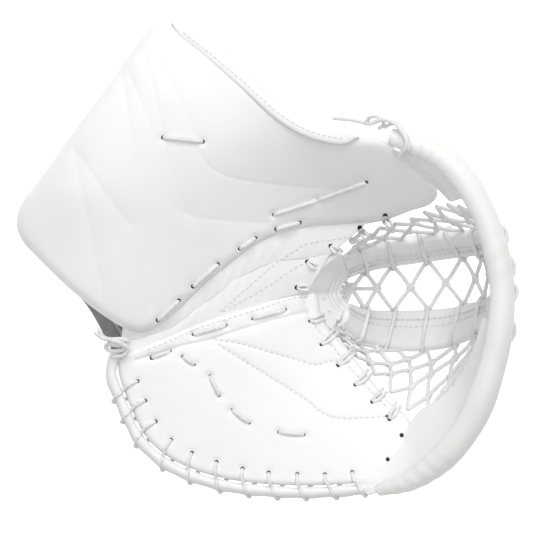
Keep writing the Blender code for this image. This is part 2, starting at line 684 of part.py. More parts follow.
def build_hand_space(parent, height):
    middle = np.array(BACKHAND_CENTRE)
    inside = [tuple(middle + (np.array(p) - middle) * PALM_LINER_SHARE) for p in BACKHAND_OUTLINE]
    panel("palm_liner", inside, BACKHAND_CENTRE, height, PALM_THICK + PALM_LINER_CLEAR, LINER_THICK - 1, 30,
          LINER_GREY, parent, inner=(0.5, 0.85))
    floor = [tuple(middle + (np.array(p) - middle) * BACKHAND_FOAM_SHARE) for p in BACKHAND_OUTLINE]
    panel("backhand_foam", floor, BACKHAND_CENTRE, lambda x, y: BACKHAND_FOAM_TOP, 0, LINER_THICK, 30,
          LINER_GREY, parent, inner=(0.5,))
    turn = math.atan2(FINGER_ALONG[1], FINGER_ALONG[0])
    for k, (x, y) in enumerate(FINGER_WALLS):
        box(f"finger_wall_{k + 1}", FINGER_WALL_SIZE, (x, y, FINGER_WALL_LEVEL), turn, LINER_GREY, parent)


def build_wrist(parent, tab_parent):
    strap("wrist_strap", STRAP_LOOP, 20, STRAP_WIDTH, STRAP_THICK, 0, STRAP_BLACK, parent)
    strap("ring_keeper", KEEPER_ROUTE, 5, STRAP_WIDTH, STRAP_THICK - 1, 0, STRAP_BLACK, parent)
    strap("wrist_strap_tab", TAB_ROUTE, 8, STRAP_WIDTH, STRAP_THICK - 0.5, 0, STRAP_BLACK, tab_parent)
    across, tall = RING_SIZE
    u, z = STRAP_LOOP[-1]
    corners = [
        wrist_point(u + 0.5 - STRAP_THICK / 2 + out * tall / 2, side * across / 2, z + 4)
        for side, out in ((-1, -1), (1, -1), (1, 1), (-1, 1))
    ]
    ring = cord("strap_ring", corners, RING_WIRE, BUCKLE_BLACK, parent)
    ring.data.splines[0].use_cyclic_u = True
    outline = [wrist_point(u, v, 0)[:2] for u, v in WRIST_PAD]
    panel("wrist_pad", outline, WRIST_CENTRE, lambda x, y: WRIST_PAD_TOP, 0, WRIST_PAD_THICK, 24, LINER_GREY,
          parent, inner=(0.5, 0.88))


def build_hand_strap(parent):
    path = smooth(HAND_STRAP, 14)
    ahead, _, _ = frames(path)
    wide = np.array(HAND_STRAP_ACROSS)
    rings = []
    for p, a in zip(path, ahead):
        up = np.cross(a, wide)
        up /= np.linalg.norm(up)
        half, thin = wide * HAND_STRAP_WIDTH / 2, up * STRAP_THICK / 2
        rings.append([p - half - thin, p + half - thin, p + half + thin, p - half + thin])
    loft("hand_strap", rings, STRAP_BLACK, parent)


def build_rim(thumb, pocket, finger):
    spine = smooth([(*p, r) for p, r in zip(RIM_PATH, RIM_RADIUS)], RIM_RINGS)
    path, radii = spine[:, :3], spine[:, 3]
    rings = [np.array(ring) for ring in tube_rings(path, radii, 12)]
    ahead, _, _ = frames(path)
    first, second = RIM_SPLITS
    pieces = (
        ("rim_thumb", 0, first, thumb),
        ("rim_centre", first, second, pocket),
        ("rim_finger", second, RIM_RINGS - 1, finger),
    )
    for name, start, end, parent in pieces:
        span = [ring.copy() for ring in rings[start : end + 1]]
        span[0] += ahead[start] * GAP / 2 * (start > 0)
        span[-1] -= ahead[end] * GAP / 2 * (end < RIM_RINGS - 1)
        loft(name, span, RIM_WHITE, parent)
    start, end = RIM_LACE_SPAN
    steps = RIM_LACE_TURNS * 9 + 1
    route = []
    _, side, over = frames(path)
    for k in range(steps):
        along = (start + (end - start) * k / (steps - 1)) * (RIM_RINGS - 1)
        low = int(along)
        blend = along - low
        p = path[low] * (1 - blend) + path[low + 1] * blend
        reach = max(radii[low], radii[low + 1]) + LACE_LIFT + 0.4
        turn = 2 * math.pi * k / 9
        route.append(p + reach * (math.cos(turn) * side[low] + math.sin(turn) * over[low]))
    cord("rim_lace", route, LACE_RADIUS, LACE_WHITE, pocket)
    cord("thumb_tip_lace", THUMB_TIP_LACE, LACE_RADIUS, LACE_WHITE, thumb)
    ribbon("thumb_flap", THUMB_FLAP_INNER, THUMB_FLAP_OUTER, 9, 3, SKIN_THICK, RIM_WHITE, thumb)
    ribbon("finger_cover", FINGER_COVER_INNER, FINGER_COVER_OUTER, 16, 4, SKIN_THICK, RIM_WHITE, finger)


def main():
    clear_scene()
    new_collection(PART, hidden=False)
    new_collection("cutters", hidden=True)
    board_height = height_map(BOARD_HEIGHTS)
    palm_height = height_map(PALM_HEIGHTS)
    finger = None
    pocket = joint_empty("pocket_crease", CREASE_START)
    thumb = joint_empty("thumb_crease", CREASE_START)
    tab = joint_empty("strap_tab_axis", wrist_point(TAB_AXIS[0], 0, TAB_AXIS[1]))
    build_board(thumb, board_height)
    build_cuff_back(thumb, board_height)
    build_wrist(thumb, tab)
    build_palm(finger, palm_height)
    build_edge(finger, palm_height)
    build_backhand(finger, palm_height)
    build_hand_space(finger, palm_height)
    build_hand_strap(finger)
    build_pocket(pocket)
    build_rim(thumb, pocket, finger)
    ribbon("break_gusset", GUSSET_BOARD_EDGE, GUSSET_PALM_EDGE, 14, 3, SKIN_THICK, LEATHER_WHITE, finger)
    ribbon("heel_gusset", HEEL_GUSSET_TOP, HEEL_GUSSET_FOOT, 12, 3, SKIN_THICK, LINER_GREY, finger)
    cord("heel_lace", HEEL_LACE, LACE_RADIUS, LACE_WHITE, finger)


if __name__ == "__main__":
    main()
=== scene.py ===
"""Goalie catch glove: the leather, laces, nets and linings that are laid over the packed parts.

The glove lies on its back with the pocket open upwards. Routes and outlines are in the part's own layout,
in millimetres, and layout() turns them into the frame's metres.
"""

import json
import math

import bmesh
import bpy
import numpy as np
from mathutils import Vector
from mathutils.bvhtree import BVHTree
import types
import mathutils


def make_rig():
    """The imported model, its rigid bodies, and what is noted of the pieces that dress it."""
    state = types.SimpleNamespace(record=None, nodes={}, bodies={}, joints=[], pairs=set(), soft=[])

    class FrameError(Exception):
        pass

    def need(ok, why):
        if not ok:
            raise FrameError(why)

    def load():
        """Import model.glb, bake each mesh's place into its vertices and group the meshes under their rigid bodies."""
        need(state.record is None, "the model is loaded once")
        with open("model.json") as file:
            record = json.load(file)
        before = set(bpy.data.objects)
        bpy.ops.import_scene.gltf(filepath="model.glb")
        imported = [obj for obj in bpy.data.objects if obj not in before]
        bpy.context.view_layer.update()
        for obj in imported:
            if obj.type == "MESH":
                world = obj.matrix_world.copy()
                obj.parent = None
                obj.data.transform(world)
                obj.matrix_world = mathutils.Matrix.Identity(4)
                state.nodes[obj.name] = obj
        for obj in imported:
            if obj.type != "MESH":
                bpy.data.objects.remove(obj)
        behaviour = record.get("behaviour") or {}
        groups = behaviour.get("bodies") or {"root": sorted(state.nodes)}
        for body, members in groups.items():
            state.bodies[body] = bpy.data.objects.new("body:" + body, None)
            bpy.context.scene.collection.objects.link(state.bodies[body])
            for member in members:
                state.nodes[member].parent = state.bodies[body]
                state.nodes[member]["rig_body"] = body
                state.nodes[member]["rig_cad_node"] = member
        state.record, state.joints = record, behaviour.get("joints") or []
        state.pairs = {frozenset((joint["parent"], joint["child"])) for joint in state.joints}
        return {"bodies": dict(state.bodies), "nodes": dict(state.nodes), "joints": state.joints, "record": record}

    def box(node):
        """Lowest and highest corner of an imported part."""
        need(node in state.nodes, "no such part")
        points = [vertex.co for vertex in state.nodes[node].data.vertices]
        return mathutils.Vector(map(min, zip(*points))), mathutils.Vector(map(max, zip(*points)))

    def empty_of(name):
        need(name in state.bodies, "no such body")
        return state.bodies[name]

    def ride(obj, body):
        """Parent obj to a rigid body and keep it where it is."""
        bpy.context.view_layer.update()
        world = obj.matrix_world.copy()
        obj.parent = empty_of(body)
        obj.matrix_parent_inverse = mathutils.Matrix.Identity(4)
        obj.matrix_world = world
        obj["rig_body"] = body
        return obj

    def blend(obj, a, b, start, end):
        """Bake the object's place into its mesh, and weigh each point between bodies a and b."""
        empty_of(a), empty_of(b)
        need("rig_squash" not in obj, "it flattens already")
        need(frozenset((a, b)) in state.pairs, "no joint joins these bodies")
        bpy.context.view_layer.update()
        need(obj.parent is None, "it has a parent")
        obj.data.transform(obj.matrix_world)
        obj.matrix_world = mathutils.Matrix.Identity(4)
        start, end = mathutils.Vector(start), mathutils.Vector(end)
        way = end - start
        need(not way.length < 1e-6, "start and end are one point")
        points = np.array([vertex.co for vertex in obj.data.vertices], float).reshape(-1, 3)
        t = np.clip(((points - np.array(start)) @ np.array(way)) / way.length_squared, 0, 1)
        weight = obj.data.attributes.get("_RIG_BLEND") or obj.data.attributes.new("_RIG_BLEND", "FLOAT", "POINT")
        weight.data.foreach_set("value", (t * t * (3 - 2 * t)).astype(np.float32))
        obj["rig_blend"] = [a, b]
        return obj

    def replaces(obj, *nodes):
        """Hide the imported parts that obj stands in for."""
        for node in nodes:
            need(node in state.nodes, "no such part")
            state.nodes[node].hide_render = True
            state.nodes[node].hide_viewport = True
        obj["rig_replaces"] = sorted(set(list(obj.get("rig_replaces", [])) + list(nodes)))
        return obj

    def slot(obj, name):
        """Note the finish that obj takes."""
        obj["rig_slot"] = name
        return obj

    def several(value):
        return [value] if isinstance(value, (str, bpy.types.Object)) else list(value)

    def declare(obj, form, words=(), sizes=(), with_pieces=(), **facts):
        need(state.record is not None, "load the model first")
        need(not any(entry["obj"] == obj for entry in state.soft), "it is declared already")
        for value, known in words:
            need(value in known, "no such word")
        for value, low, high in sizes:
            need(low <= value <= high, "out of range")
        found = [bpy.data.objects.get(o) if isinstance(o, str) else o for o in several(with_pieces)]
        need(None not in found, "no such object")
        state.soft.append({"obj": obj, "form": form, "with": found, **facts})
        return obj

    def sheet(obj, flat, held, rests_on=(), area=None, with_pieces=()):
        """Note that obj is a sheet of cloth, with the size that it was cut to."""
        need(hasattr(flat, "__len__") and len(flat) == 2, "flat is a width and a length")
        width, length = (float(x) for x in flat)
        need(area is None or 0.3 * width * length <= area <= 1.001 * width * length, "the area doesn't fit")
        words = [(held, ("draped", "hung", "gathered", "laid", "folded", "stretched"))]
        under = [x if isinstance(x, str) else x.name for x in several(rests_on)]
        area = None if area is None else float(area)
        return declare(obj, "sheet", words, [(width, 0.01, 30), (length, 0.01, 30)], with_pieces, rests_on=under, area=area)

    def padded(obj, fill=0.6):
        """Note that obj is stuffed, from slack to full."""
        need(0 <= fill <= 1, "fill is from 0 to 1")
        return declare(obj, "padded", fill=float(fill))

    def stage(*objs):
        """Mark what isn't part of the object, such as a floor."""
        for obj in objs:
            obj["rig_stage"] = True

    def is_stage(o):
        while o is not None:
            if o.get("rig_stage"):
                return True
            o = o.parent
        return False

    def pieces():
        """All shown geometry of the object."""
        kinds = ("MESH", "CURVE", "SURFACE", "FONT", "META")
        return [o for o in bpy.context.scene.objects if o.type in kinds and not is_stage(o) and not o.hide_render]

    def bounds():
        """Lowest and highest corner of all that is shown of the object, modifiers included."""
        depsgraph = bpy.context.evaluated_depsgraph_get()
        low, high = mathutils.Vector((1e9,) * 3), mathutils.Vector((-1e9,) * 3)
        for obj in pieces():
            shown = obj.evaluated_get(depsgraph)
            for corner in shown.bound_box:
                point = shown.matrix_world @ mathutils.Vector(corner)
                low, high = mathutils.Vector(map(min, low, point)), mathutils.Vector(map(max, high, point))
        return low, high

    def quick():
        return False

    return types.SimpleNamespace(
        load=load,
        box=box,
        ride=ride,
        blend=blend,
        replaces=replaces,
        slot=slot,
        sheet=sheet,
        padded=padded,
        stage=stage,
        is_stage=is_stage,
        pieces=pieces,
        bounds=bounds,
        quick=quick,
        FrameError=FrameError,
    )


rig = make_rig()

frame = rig.load()
cad_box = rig.bounds()

bl_info = {
    "name": "Goalie catch glove",
    "version": (1, 0, 0),
    "blender": (4, 5, 0),
    "location": "View3D > Sidebar > Glove",
    "description": "Builds a goalie catch glove piece by piece over its packed parts",
    "category": "Add Mesh",
}

MM = 0.001
SIZE_FILE = "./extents.json"
LAYOUT_ORIGIN = np.array([-1.2, -3.65, 0.0])
SEED = 20
RIPPLES = 9

# The crease that the glove folds on: a point of it, and the direction across it towards the board
CREASE_START = np.array([-112.0, -66.0, 88.0])
CREASE_ACROSS = np.array([-0.258, 0.966, 0.0])

# Cuff and thumb board
BOARD_OUTLINE = [
    (-72, 179), (-57, 168), (-43, 157), (-13, 131), (10, 110), (31, 97), (52, 91), (70, 90), (88, 88),
    (98, 80), (110, 70), (122, 60), (130, 51), (130, 44), (123, 38), (112, 35), (93, 28), (71, 24),
    (45, 23), (18, 19), (-4, 10), (-25, -4), (-52, -27), (-71, -45), (-88, -57), (-103, -58),
    (-123, -47), (-151, -25), (-180, 3), (-189, 13), (-192, 27), (-187, 42), (-169, 65), (-142, 102),
    (-115, 139), (-92, 172), (-83, 180),
]
BOARD_CENTRE = (-30, 62)
BOARD_HEIGHTS = [
    (-72, 179, 112), (-43, 157, 120), (-13, 131, 129), (31, 97, 140), (70, 90, 152), (88, 88, 160),
    (110, 70, 155), (130, 50, 142), (112, 35, 119), (93, 28, 106), (71, 24, 96), (45, 23, 93), (18, 19, 93),
    (-25, -4, 94), (-52, -27, 95), (-71, -45, 96), (-95, -57, 98), (-123, -47, 103), (-151, -25, 106),
    (-185, 6, 103), (-192, 27, 106), (-169, 65, 116), (-142, 102, 121), (-115, 139, 118), (-90, 174, 113),
    (-150, 50, 121), (-120, 95, 125), (-80, 130, 125), (-60, 90, 126), (-110, 20, 117), (-60, 30, 113),
    (-100, -15, 109), (-20, 90, 126), (0, 60, 113), (40, 62, 120), (80, 60, 134), (-10, 30, 100),
    (105, 52, 140),
]
BOARD_CREASES = [
    [(-93, 153), (-85, 127), (-70, 58), (-59, 32)],
    [(-110, 142), (-101, 81), (-95, 20), (-89, -40)],
    [(-146, 81), (-131, 5), (-123, -38)],
    [(-142, 77), (-122, 48), (-104, 24)],
    [(-81, 150), (-62, 112), (-47, 73), (-30, 61), (-10, 57), (25, 53), (75, 50), (128, 46)],
    [(-104, 138), (-89, 104), (-80, 70), (-74, 43), (-60, 32), (-40, 28), (-4, 26), (30, 27)],
    [(63, 84), (70, 60), (80, 38)],
]
BREAK_HOLES = [(-83, -49), (-67, -34), (-56, -23), (-37, -6), (-20, 6), (-8, 14), (8, 21), (26, 26)]
THUMB_HOLES = [(6, 32), (40, 43), (76, 56)]
CUFF_HOLES = [(-78, 90), (-48, 87)]
BOARD_FINENESS = (150, 24, 7.0)  # points round the outline, rings, and the width of the rolled edge
BOARD_SWELL = 0.6

# Cross-section of the band along the board's thumb-side edge: outwards and up from the edge
BAND_SECTION = [
    (-7.0, -1.2), (-4.5, 0.5), (0.0, 0.3), (3.0, -0.6), (5.4, -3.0), (6.3, -8), (6.1, -13), (4.8, -17.5),
    (1.5, -19.6), (-3.0, -17.5), (-3.5, -8),
]

# Palm
PALM_OUTLINE = [
    (-112, -76), (-90, -67), (-76, -61), (-54, -51), (-35, -45), (-8, -37), (20, -28), (36, -26), (41, -33),
    (43, -46), (50, -57), (60, -67), (76, -88), (96, -112), (108, -122), (114, -135), (112, -150),
    (100, -163), (80, -172), (52, -175), (18, -176), (-21, -173), (-51, -166), (-75, -155), (-92, -140),
    (-101, -124), (-110, -103), (-114, -88),
]
PALM_CENTRE = (-5, -105)
PALM_FINENESS = (140, 22, 4.5)
PALM_HEIGHTS = [
    (-112, -76, 91), (-76, -61, 88), (-35, -45, 84), (20, -28, 75), (41, -33, 70), (50, -57, 71),
    (76, -88, 76),
    (96, -112, 86), (114, -135, 102), (112, -150, 111), (80, -172, 113), (52, -175, 106), (18, -176, 101),
    (-21, -173, 97), (-51, -166, 95), (-92, -140, 92), (-112, -95, 90), (-60, -100, 91), (-20, -95, 88),
    (20, -80, 82), (-20, -140, 94), (40, -135, 94), (60, -105, 84), (85, -140, 98), (0, -55, 83),
]
PALM_HOLES = [
    (-88, -78), (-74, -73), (-64, -77), (-55, -83), (-43, -92), (-36, -107), (-26, -118), (-13, -128),
    (10, -135), (29, -137),
]
STRIP_HOLES = [(-56, -60), (-31, -53), (-10, -48), (15, -41)]
POCKET_HOLES = [(34, -50), (43, -68), (56, -84), (69, -99), (82, -112), (95, -125)]
TIP_HOLES = [(93, -123), (104, -137), (93, -155)]
STRIP_EDGE_SEAM = [(-92, -72), (-74, -65), (-53, -55.5), (-34, -49.5), (-8, -41.5), (20, -32.5), (33, -31.5)]
STRIP_SEAM = [(-100, -80), (-64, -69), (-42, -64), (-21, -57), (7, -49), (32, -43)]
PALM_SEAMS = [
    [(-41, -64), (-21, -67), (0, -73), (22, -79), (39, -84), (49, -81), (66, -82)],
    [(-38, -67), (-21, -78), (0, -91), (29, -109), (52, -124), (97, -123)],
]
POCKET_SEAM = [(29, -33), (33, -47), (43, -60), (56, -75), (67, -88), (79, -102), (93, -116)]

# Palm edge
PERIMETER = [
    (-110, -76), (-113, -83), (-114, -92), (-110, -103), (-101, -124), (-92, -140), (-75, -155), (-51, -166),
    (-21, -173), (18, -176), (52, -175), (80, -172),
]
PERIMETER_HOLES = [
    (-99, -96), (-93, -111), (-85, -127), (-73, -141), (-57, -151), (-38, -158), (-18, -163), (2, -166),
    (24, -167), (45, -167), (66, -165),
]
ALL_PALM_HOLES = PALM_HOLES + STRIP_HOLES + POCKET_HOLES + PERIMETER_HOLES + TIP_HOLES
# Welts: name, half-width, distance out from the edge and down from the palm's face, and the part
WELTS = [
    ("upper_welt", 3.7, 4.6, 3.4, "edge_welt_upper"),
    ("lower_welt", 4.1, 6.2, 12.2, "edge_welt_lower"),
]
# Edge lace, from the nearest edge point: rows on along the edge, distance out, and depth below the face
EDGE_LACE_ROUTE = [
    (2, 1.2, 1.2), (3, 4.6, -0.6), (4, 8.2, 2.6), (5, 9.8, 7.0), (6, 11.4, 12.2), (7, 9.6, 17.0),
    (7, 3.0, 18.5),
]

# Break gusset: its edges tucked under the palm and the board, and the line between its two halves
GUSSET_PALM_SIDE = [
    (-110, -78, 86), (-92, -71, 85.5), (-80, -65, 84.5), (-64, -58, 84), (-46, -50, 82), (-29, -45, 80),
    (-5, -38, 77), (13, -32, 75), (32, -28, 72),
]
GUSSET_MIDDLE = [
    (-112, -65, 87), (-94, -62, 86), (-76, -56, 85), (-58, -44, 85), (-41, -31, 84), (-22, -17, 83),
    (0, -6, 82),
    (20, -2, 81), (36, 0, 81), (50, 2, 82),
]
GUSSET_BOARD_SIDE = [
    (-110, -50, 88), (-86, -50, 88), (-68, -38, 88), (-49, -20, 88), (-25, 3, 87), (-6, 17, 87), (16, 26, 87),
    (45, 30, 88), (68, 31, 91), (86, 33, 97),
]
GUSSET_SEAMS = [
    [(-36, -43), (-21, -30), (-6, -17), (8, -5), (25, 6), (33, 10), (52, 13), (72, 17)],
    [(-34, -43), (0, -24), (22, -9), (34, -4)],
]
THUMB_EDGE_HOLES = [(91, 31), (72, 22), (50, 8), (32, -4), (24, -24)]
THUMB_EDGE_TIES = [(96, 20, 96), (79, 12, 84), (58, 2, 78), (42, -10, 74), (36, -24, 68)]

# Rim roll, with its radius
RIM_PATH = [
    (93, 89, 166), (114, 82, 172), (134, 70, 176), (150, 52, 179), (163, 27, 180), (171, 1, 180),
    (175, -26, 178), (173, -58, 175), (166, -90, 168), (154, -122, 158), (135, -149, 146), (112, -168, 132),
    (86, -178, 116),
]
RIM_RADIUS = [6.5, 8.5, 9.5, 9.5, 9.5, 9.5, 9.5, 9.8, 10.5, 11.0, 10.5, 8.5, 4.5]
RIM_SPLITS = (0.278, 0.556)
RIM_POINTS = 360
RIM_OVERLAP = 9  # points that a part of the rim runs on into its neighbour
RIM_SEAM_TURN = 4.1
THUMB_TURN = ((163, 27, 180), (136, 56, 160))
FINGER_TURN = ((172, -62, 170), (122, -132, 101))

# Loops of lace on the outside of the rim: where each starts and ends, and how far it lies off the leather
RIM_LACE_SPANS = [(0.295, 0.345), (0.36, 0.41), (0.415, 0.455), (0.49, 0.54)]
RIM_LACE_LIFTS = (-3.5, -1.0, 0.9, 1.6, 1.8, 1.6, 0.9, -1.0, -3.5)
# The rim's wrinkles: depth, rate along it, how far they wave round it, in how many lobes and from which turn,
# and where they lie and how far they spread
RIM_WRINKLES = [
    (0.30, 260, 2.0, 2, 0.0, 0.08, 0.09),
    (0.22, 150, 1.5, 1, math.pi / 2, 0.36, 0.06),
    (0.25, 190, 2.1, 1, math.pi / 2, 0.9, 0.1),
]

THUMB_FLAP_INNER = [(97, 80, 159), (110, 71, 155), (121, 62.5, 151), (131, 54, 146), (140, 44, 150)]
THUMB_FLAP_OUTER = [(103, 79, 163), (114, 74, 165), (126, 65, 167), (137, 55, 170), (146, 43, 171)]
FINGER_COVER_INNER = [
    (68, -171, 110), (83, -165, 110), (96, -155, 109), (105, -144, 106), (109, -133, 102), (117, -119, 101),
    (135, -107, 114), (149, -89, 128), (158, -65, 145), (162, -46, 158),
]
FINGER_COVER_OUTER = [
    (78, -182, 112), (94, -177, 124), (113, -166, 137), (126, -155, 146), (138, -141, 153), (150, -121, 160),
    (159, -92, 165), (164, -66, 168), (166, -46, 169),
]

# Double T
UPPER_BAR_INNER = [
    (63, -17, 47), (74, -13, 32), (90, -9, 16), (114, -5, 6), (144, -1, 6), (165, 1, 24), (175, 2, 58),
    (177, 2, 105), (172, 1, 160),
]
UPPER_BAR_OUTER = [
    (57, -3, 62), (67, 4, 50), (85, 10, 35), (111, 15, 26), (140, 20, 26), (160, 21, 42), (171, 22, 70),
    (173, 22, 110), (166, 21, 160),
]
LOWER_BAR_INNER = [
    (63, -36, 47), (74, -40, 32), (90, -43, 16), (115, -43, 6), (146, -41, 6), (166, -36, 24), (178, -32, 58),
    (180, -31, 105), (175, -31, 160),
]
LOWER_BAR_OUTER = [
    (59, -52, 58), (68, -63, 45), (86, -71, 29), (115, -75, 19), (143, -72, 20), (164, -63, 38),
    (177, -54, 72), (180, -51, 112), (174, -51, 160),
]
WALL_TOP = [
    (57, 5, 84), (50, 0, 82), (43, -6, 80), (37, -14, 77), (33, -22, 74), (31, -30, 69), (34, -40, 66),
    (42, -50, 63), (50, -58, 60),
]
WALL_FOOT = [
    (64, -17, 46), (61, -19, 47), (59, -22, 48), (58.5, -27, 48), (59, -31, 48), (61, -34, 47), (64, -37, 46),
]
FIRST_KNOT = (68, -25, 30)
EDGE_POINTS = 200  # along a bar's or a net's edge
KNOT_STRAY = 0.9
WALL_TIES = [(47, -8, 68), (43, -21, 63), (44, -33, 61), (48, -43, 60), (56, -50, 59)]

# Net edges: holes of the board's thumb edge, and of the palm and finger cover
THUMB_NET_EDGE = [
    (60, 14, 82), (73, 18, 86), (92, 23, 93), (112, 29, 106), (130, 38, 127), (143, 38, 148), (153, 33, 160),
    (158, 31, 166),
]
FINGER_NET_EDGE = [
    (47, -50, 60), (54, -64, 60), (76, -82, 61), (99, -107, 70), (120, -124, 86), (140, -103, 104),
    (153, -83, 121), (163, -66, 142), (167, -58, 160),
]
# Across the net's floor, from the bar to the palm: it bends over this slope
NET_FLOOR_SLOPE = np.array([-0.27, -0.53, 0.8]) / math.hypot(0.27, 0.53, 0.8)

# Backhand
BACKHAND_OUTLINE = [
    (-96, -82), (-70, -70), (-40, -60), (-8, -52), (18, -44), (30, -44), (34, -58), (50, -78), (66, -96),
    (84, -116), (96, -130), (96, -144), (82, -156), (50, -161), (18, -161), (-20, -158), (-46, -151),
    (-66, -141), (-82, -126), (-91, -108), (-97, -94),
]
BACKHAND_CENTRE = (-5, -105)
BACKHAND_WALL = 9.0
PADDING_SWELL = 1.5
# Its outer side from the palm down: share of the outline, and share of the palm's height
BACKHAND_PROFILE = [
    (1.0, 0.98), (1.02, 0.85), (1.03, 0.7), (1.02, 0.55), (1.0, 0.42), (0.97, 0.3), (0.93, 0.2), (0.88, 0.11),
    (0.82, 0.04), (0.74, 0.005), (0.62, 0.0), (0.48, 0.0), (0.34, 0.0), (0.2, 0.0), (0.08, 0.0),
]

# Linings
LINING_GAP = 6.4
CUFF_LINING_CENTRE = (-85, 55)
CUFF_LINING = [
    (-78, 168), (-25, 124), (-10, 100), (-20, 60), (-35, 10), (-62, -22), (-92, -44), (-118, -38),
    (-172, 6), (-180, 28), (-138, 94), (-100, 146),
]

# Thumb stall, wrist closure and hand strap
THUMB_STALL_PATH = [(2, 46, 66), (28, 55, 69), (54, 63, 76), (78, 70, 84)]
THUMB_STALL_RADII = (17.0, 14.0)
THUMB_PAD_RADII = (24.0, 21.0)
STALL_WALL = 2.0
STALL_GAP = 1.8
WRIST_CENTRE = (-82, 52)
WRIST_TURN = math.radians(48.0)
STRAP_WIDTH = 38.0
STRAP_LOOP = [
    (-60, 79), (-66, 50), (-60, 20), (-44, 5.6), (-15, 0.6), (15, 0.6), (44, 5.6), (60, 20), (65, 38),
]
TAB_ROUTE = [(70, 44), (71, 34), (67, 20)]
KEEPER_ROUTE = [(65, 47), (64, 64), (58, 88)]
WRIST_PAD = [(-34, -28), (34, -28), (38, -20), (38, 20), (34, 28), (-34, 28), (-38, 20), (-38, -20)]
WRIST_PAD_TOP = 21.5
HAND_STRAP = [
    (-104, -62, 46), (-99, -54, 26), (-76, -42, 12), (-44, -31, 8), (-12, -22, 12), (8, -22, 27),
    (14, -27, 46),
]
HAND_STRAP_ACROSS = np.array([0.3, -0.95, 0.0])
HAND_STRAP_WIDTH = 20.0
HEEL_GUSSET_TOP = [(-147, -22, 80), (-124, -42, 78), (-109, -60, 74), (-107, -84, 72)]
HEEL_GUSSET_FOOT = [(-152, -24, 32), (-137, -44, 29), (-119, -78, 28), (-110, -96, 29)]

# Laces that lie outside the leather
HEEL_LACE = [
    (-131, -58, 108), (-123, -63, 105), (-109, -63.5, 102), (-106, -66, 100), (-111, -68.2, 99),
    (-121, -67.6, 98), (-123, -70, 97), (-119, -72.6, 96), (-108, -72, 96),
]
HEEL_LOOP = [
    (-128, -55, 104), (-124, -62, 104), (-112, -66, 103), (-106, -71, 99), (-110, -76, 96), (-119, -77, 92),
]
THUMB_TIP_LACE = [
    (50, 104, 140), (60, 103, 146), (70, 101, 152), (77, 99, 157), (84, 101, 162), (90, 101, 170),
    (97, 97, 177),
    (103, 88, 181), (106, 78, 179),
]
THUMB_TIP_LOOP = [(88, 96, 160), (95, 99, 168), (101, 95, 177), (104, 86, 181), (103, 79, 178), (99, 74, 168)]
THUMB_TIP_TAIL = [(74, 99, 154), (78, 104, 160), (84, 104, 163), (88, 99, 160), (84, 95, 156)]

# How laces lie, in millimetres unless said otherwise
LACE_STEP = 1.2
LACE_DIVE = 4.0
# Along a run between two holes: share of the way, and lift off the leather in lace radii
LACE_RUN = [(0.0, -0.2), (0.1, 0.7), (0.35, 0.95), (0.65, 0.95), (0.9, 0.7), (1.0, -0.2)]
# The painted shade in a lace hole's mouth: radius and lift of its rings
HOLE_SHADE_PROFILE = [(1.0, 0.34), (1.7, 0.30), (1.9, 0.1), (1.9, -1.4), (1.0, -1.6)]
STITCH_RADIUS = 0.42

# Cloth that blows the padding up
CLOTH_FRAMES = 20
CLOTH_QUALITY = 4
CLOTH_MASS = 0.3
PRESSURE = 3.0
LEAST_HELD = 0.15


# ---------------------------------------------------------------- settings


def length_setting(name, description, default):
    """A length in metres, shown in the scene's own units."""
    return bpy.props.FloatProperty(
        name=name, description=description, default=default, min=0.0, max=0.1,
        subtype="DISTANCE", unit="LENGTH",
    )


def colour_setting(name, description, default):
    return bpy.props.FloatVectorProperty(
        name=name, description=description, default=default, min=0.0, max=1.0, size=3, subtype="COLOR"
    )


class GloveSizes(bpy.types.PropertyGroup):
    """Sizes that a user would change."""

    lace: length_setting("Lace", "Diameter of the round lace", 0.0034)
    knot: length_setting("Knot", "Radius of a net knot's loops", 0.0026)
    stitch: length_setting("Stitch", "Length of one stitch", 0.0028)
    stitch_step: length_setting("Stitch step", "From one stitch to the next", 0.0042)
    seam: length_setting("Seam", "Depth of a sewn seam's groove", 0.0010)
    crease: length_setting("Crease", "Depth of the lines moulded into the cuff", 0.0005)
    board: length_setting("Board", "Thickness of the cuff and thumb board", 0.020)
    palm: length_setting("Palm", "Thickness of the palm", 0.012)
    bar: length_setting("Bar", "Thickness of the pocket's padded bars", 0.008)
    webbing: length_setting("Webbing", "Thickness of the strap webbing", 0.0022)
    swell: length_setting("Swell", "How far the padding may push the leather out", 0.0016)


class GloveColours(bpy.types.PropertyGroup):
    """Colours of the leathers, laces and linings."""

    board: colour_setting("Board leather", "Smooth leather of the cuff and thumb", (0.86, 0.86, 0.85))
    palm: colour_setting("Palm leather", "Softer leather of the palm", (0.87, 0.87, 0.87))
    rim: colour_setting("Rim leather", "Folded leather of the rim and finger cover", (0.87, 0.86, 0.84))
    pocket: colour_setting("Pocket leather", "Leather of the pocket's bars", (0.85, 0.85, 0.86))
    lace: colour_setting("Lace", "Waxed lace", (0.90, 0.90, 0.89))
    thread: colour_setting("Thread", "Sewing thread", (0.72, 0.72, 0.72))
    # The lace hole colour is painted shade: near black, for the shadow inside each lace hole
    hole: colour_setting("Lace hole", "Inside of a lace hole", (0.03, 0.03, 0.035))
    liner: colour_setting("Liner", "Brushed knit lining", (0.20, 0.21, 0.23))
    strap: colour_setting("Strap", "Woven strap", (0.05, 0.05, 0.055))
    buckle: colour_setting("Buckle", "Moulded ring", (0.03, 0.03, 0.03))
    floor: colour_setting("Floor", "Studio floor", (0.92, 0.92, 0.92))


def sizes():
    """Every size setting in millimetres."""
    held = bpy.context.scene.glove_sizes
    return {name: getattr(held, name) / MM for name in GloveSizes.__annotations__}


def colour(name):
    return tuple(getattr(bpy.context.scene.glove_colours, name))


# ---------------------------------------------------------------- curves and surfaces


def layout(spots):
    """Layout points in millimetres as world points in metres."""
    return (np.asarray(spots, float) - LAYOUT_ORIGIN) * MM


def unit(rows):
    rows = np.asarray(rows, float)
    return rows / np.maximum(np.linalg.norm(rows, axis=-1, keepdims=True), 1e-9)


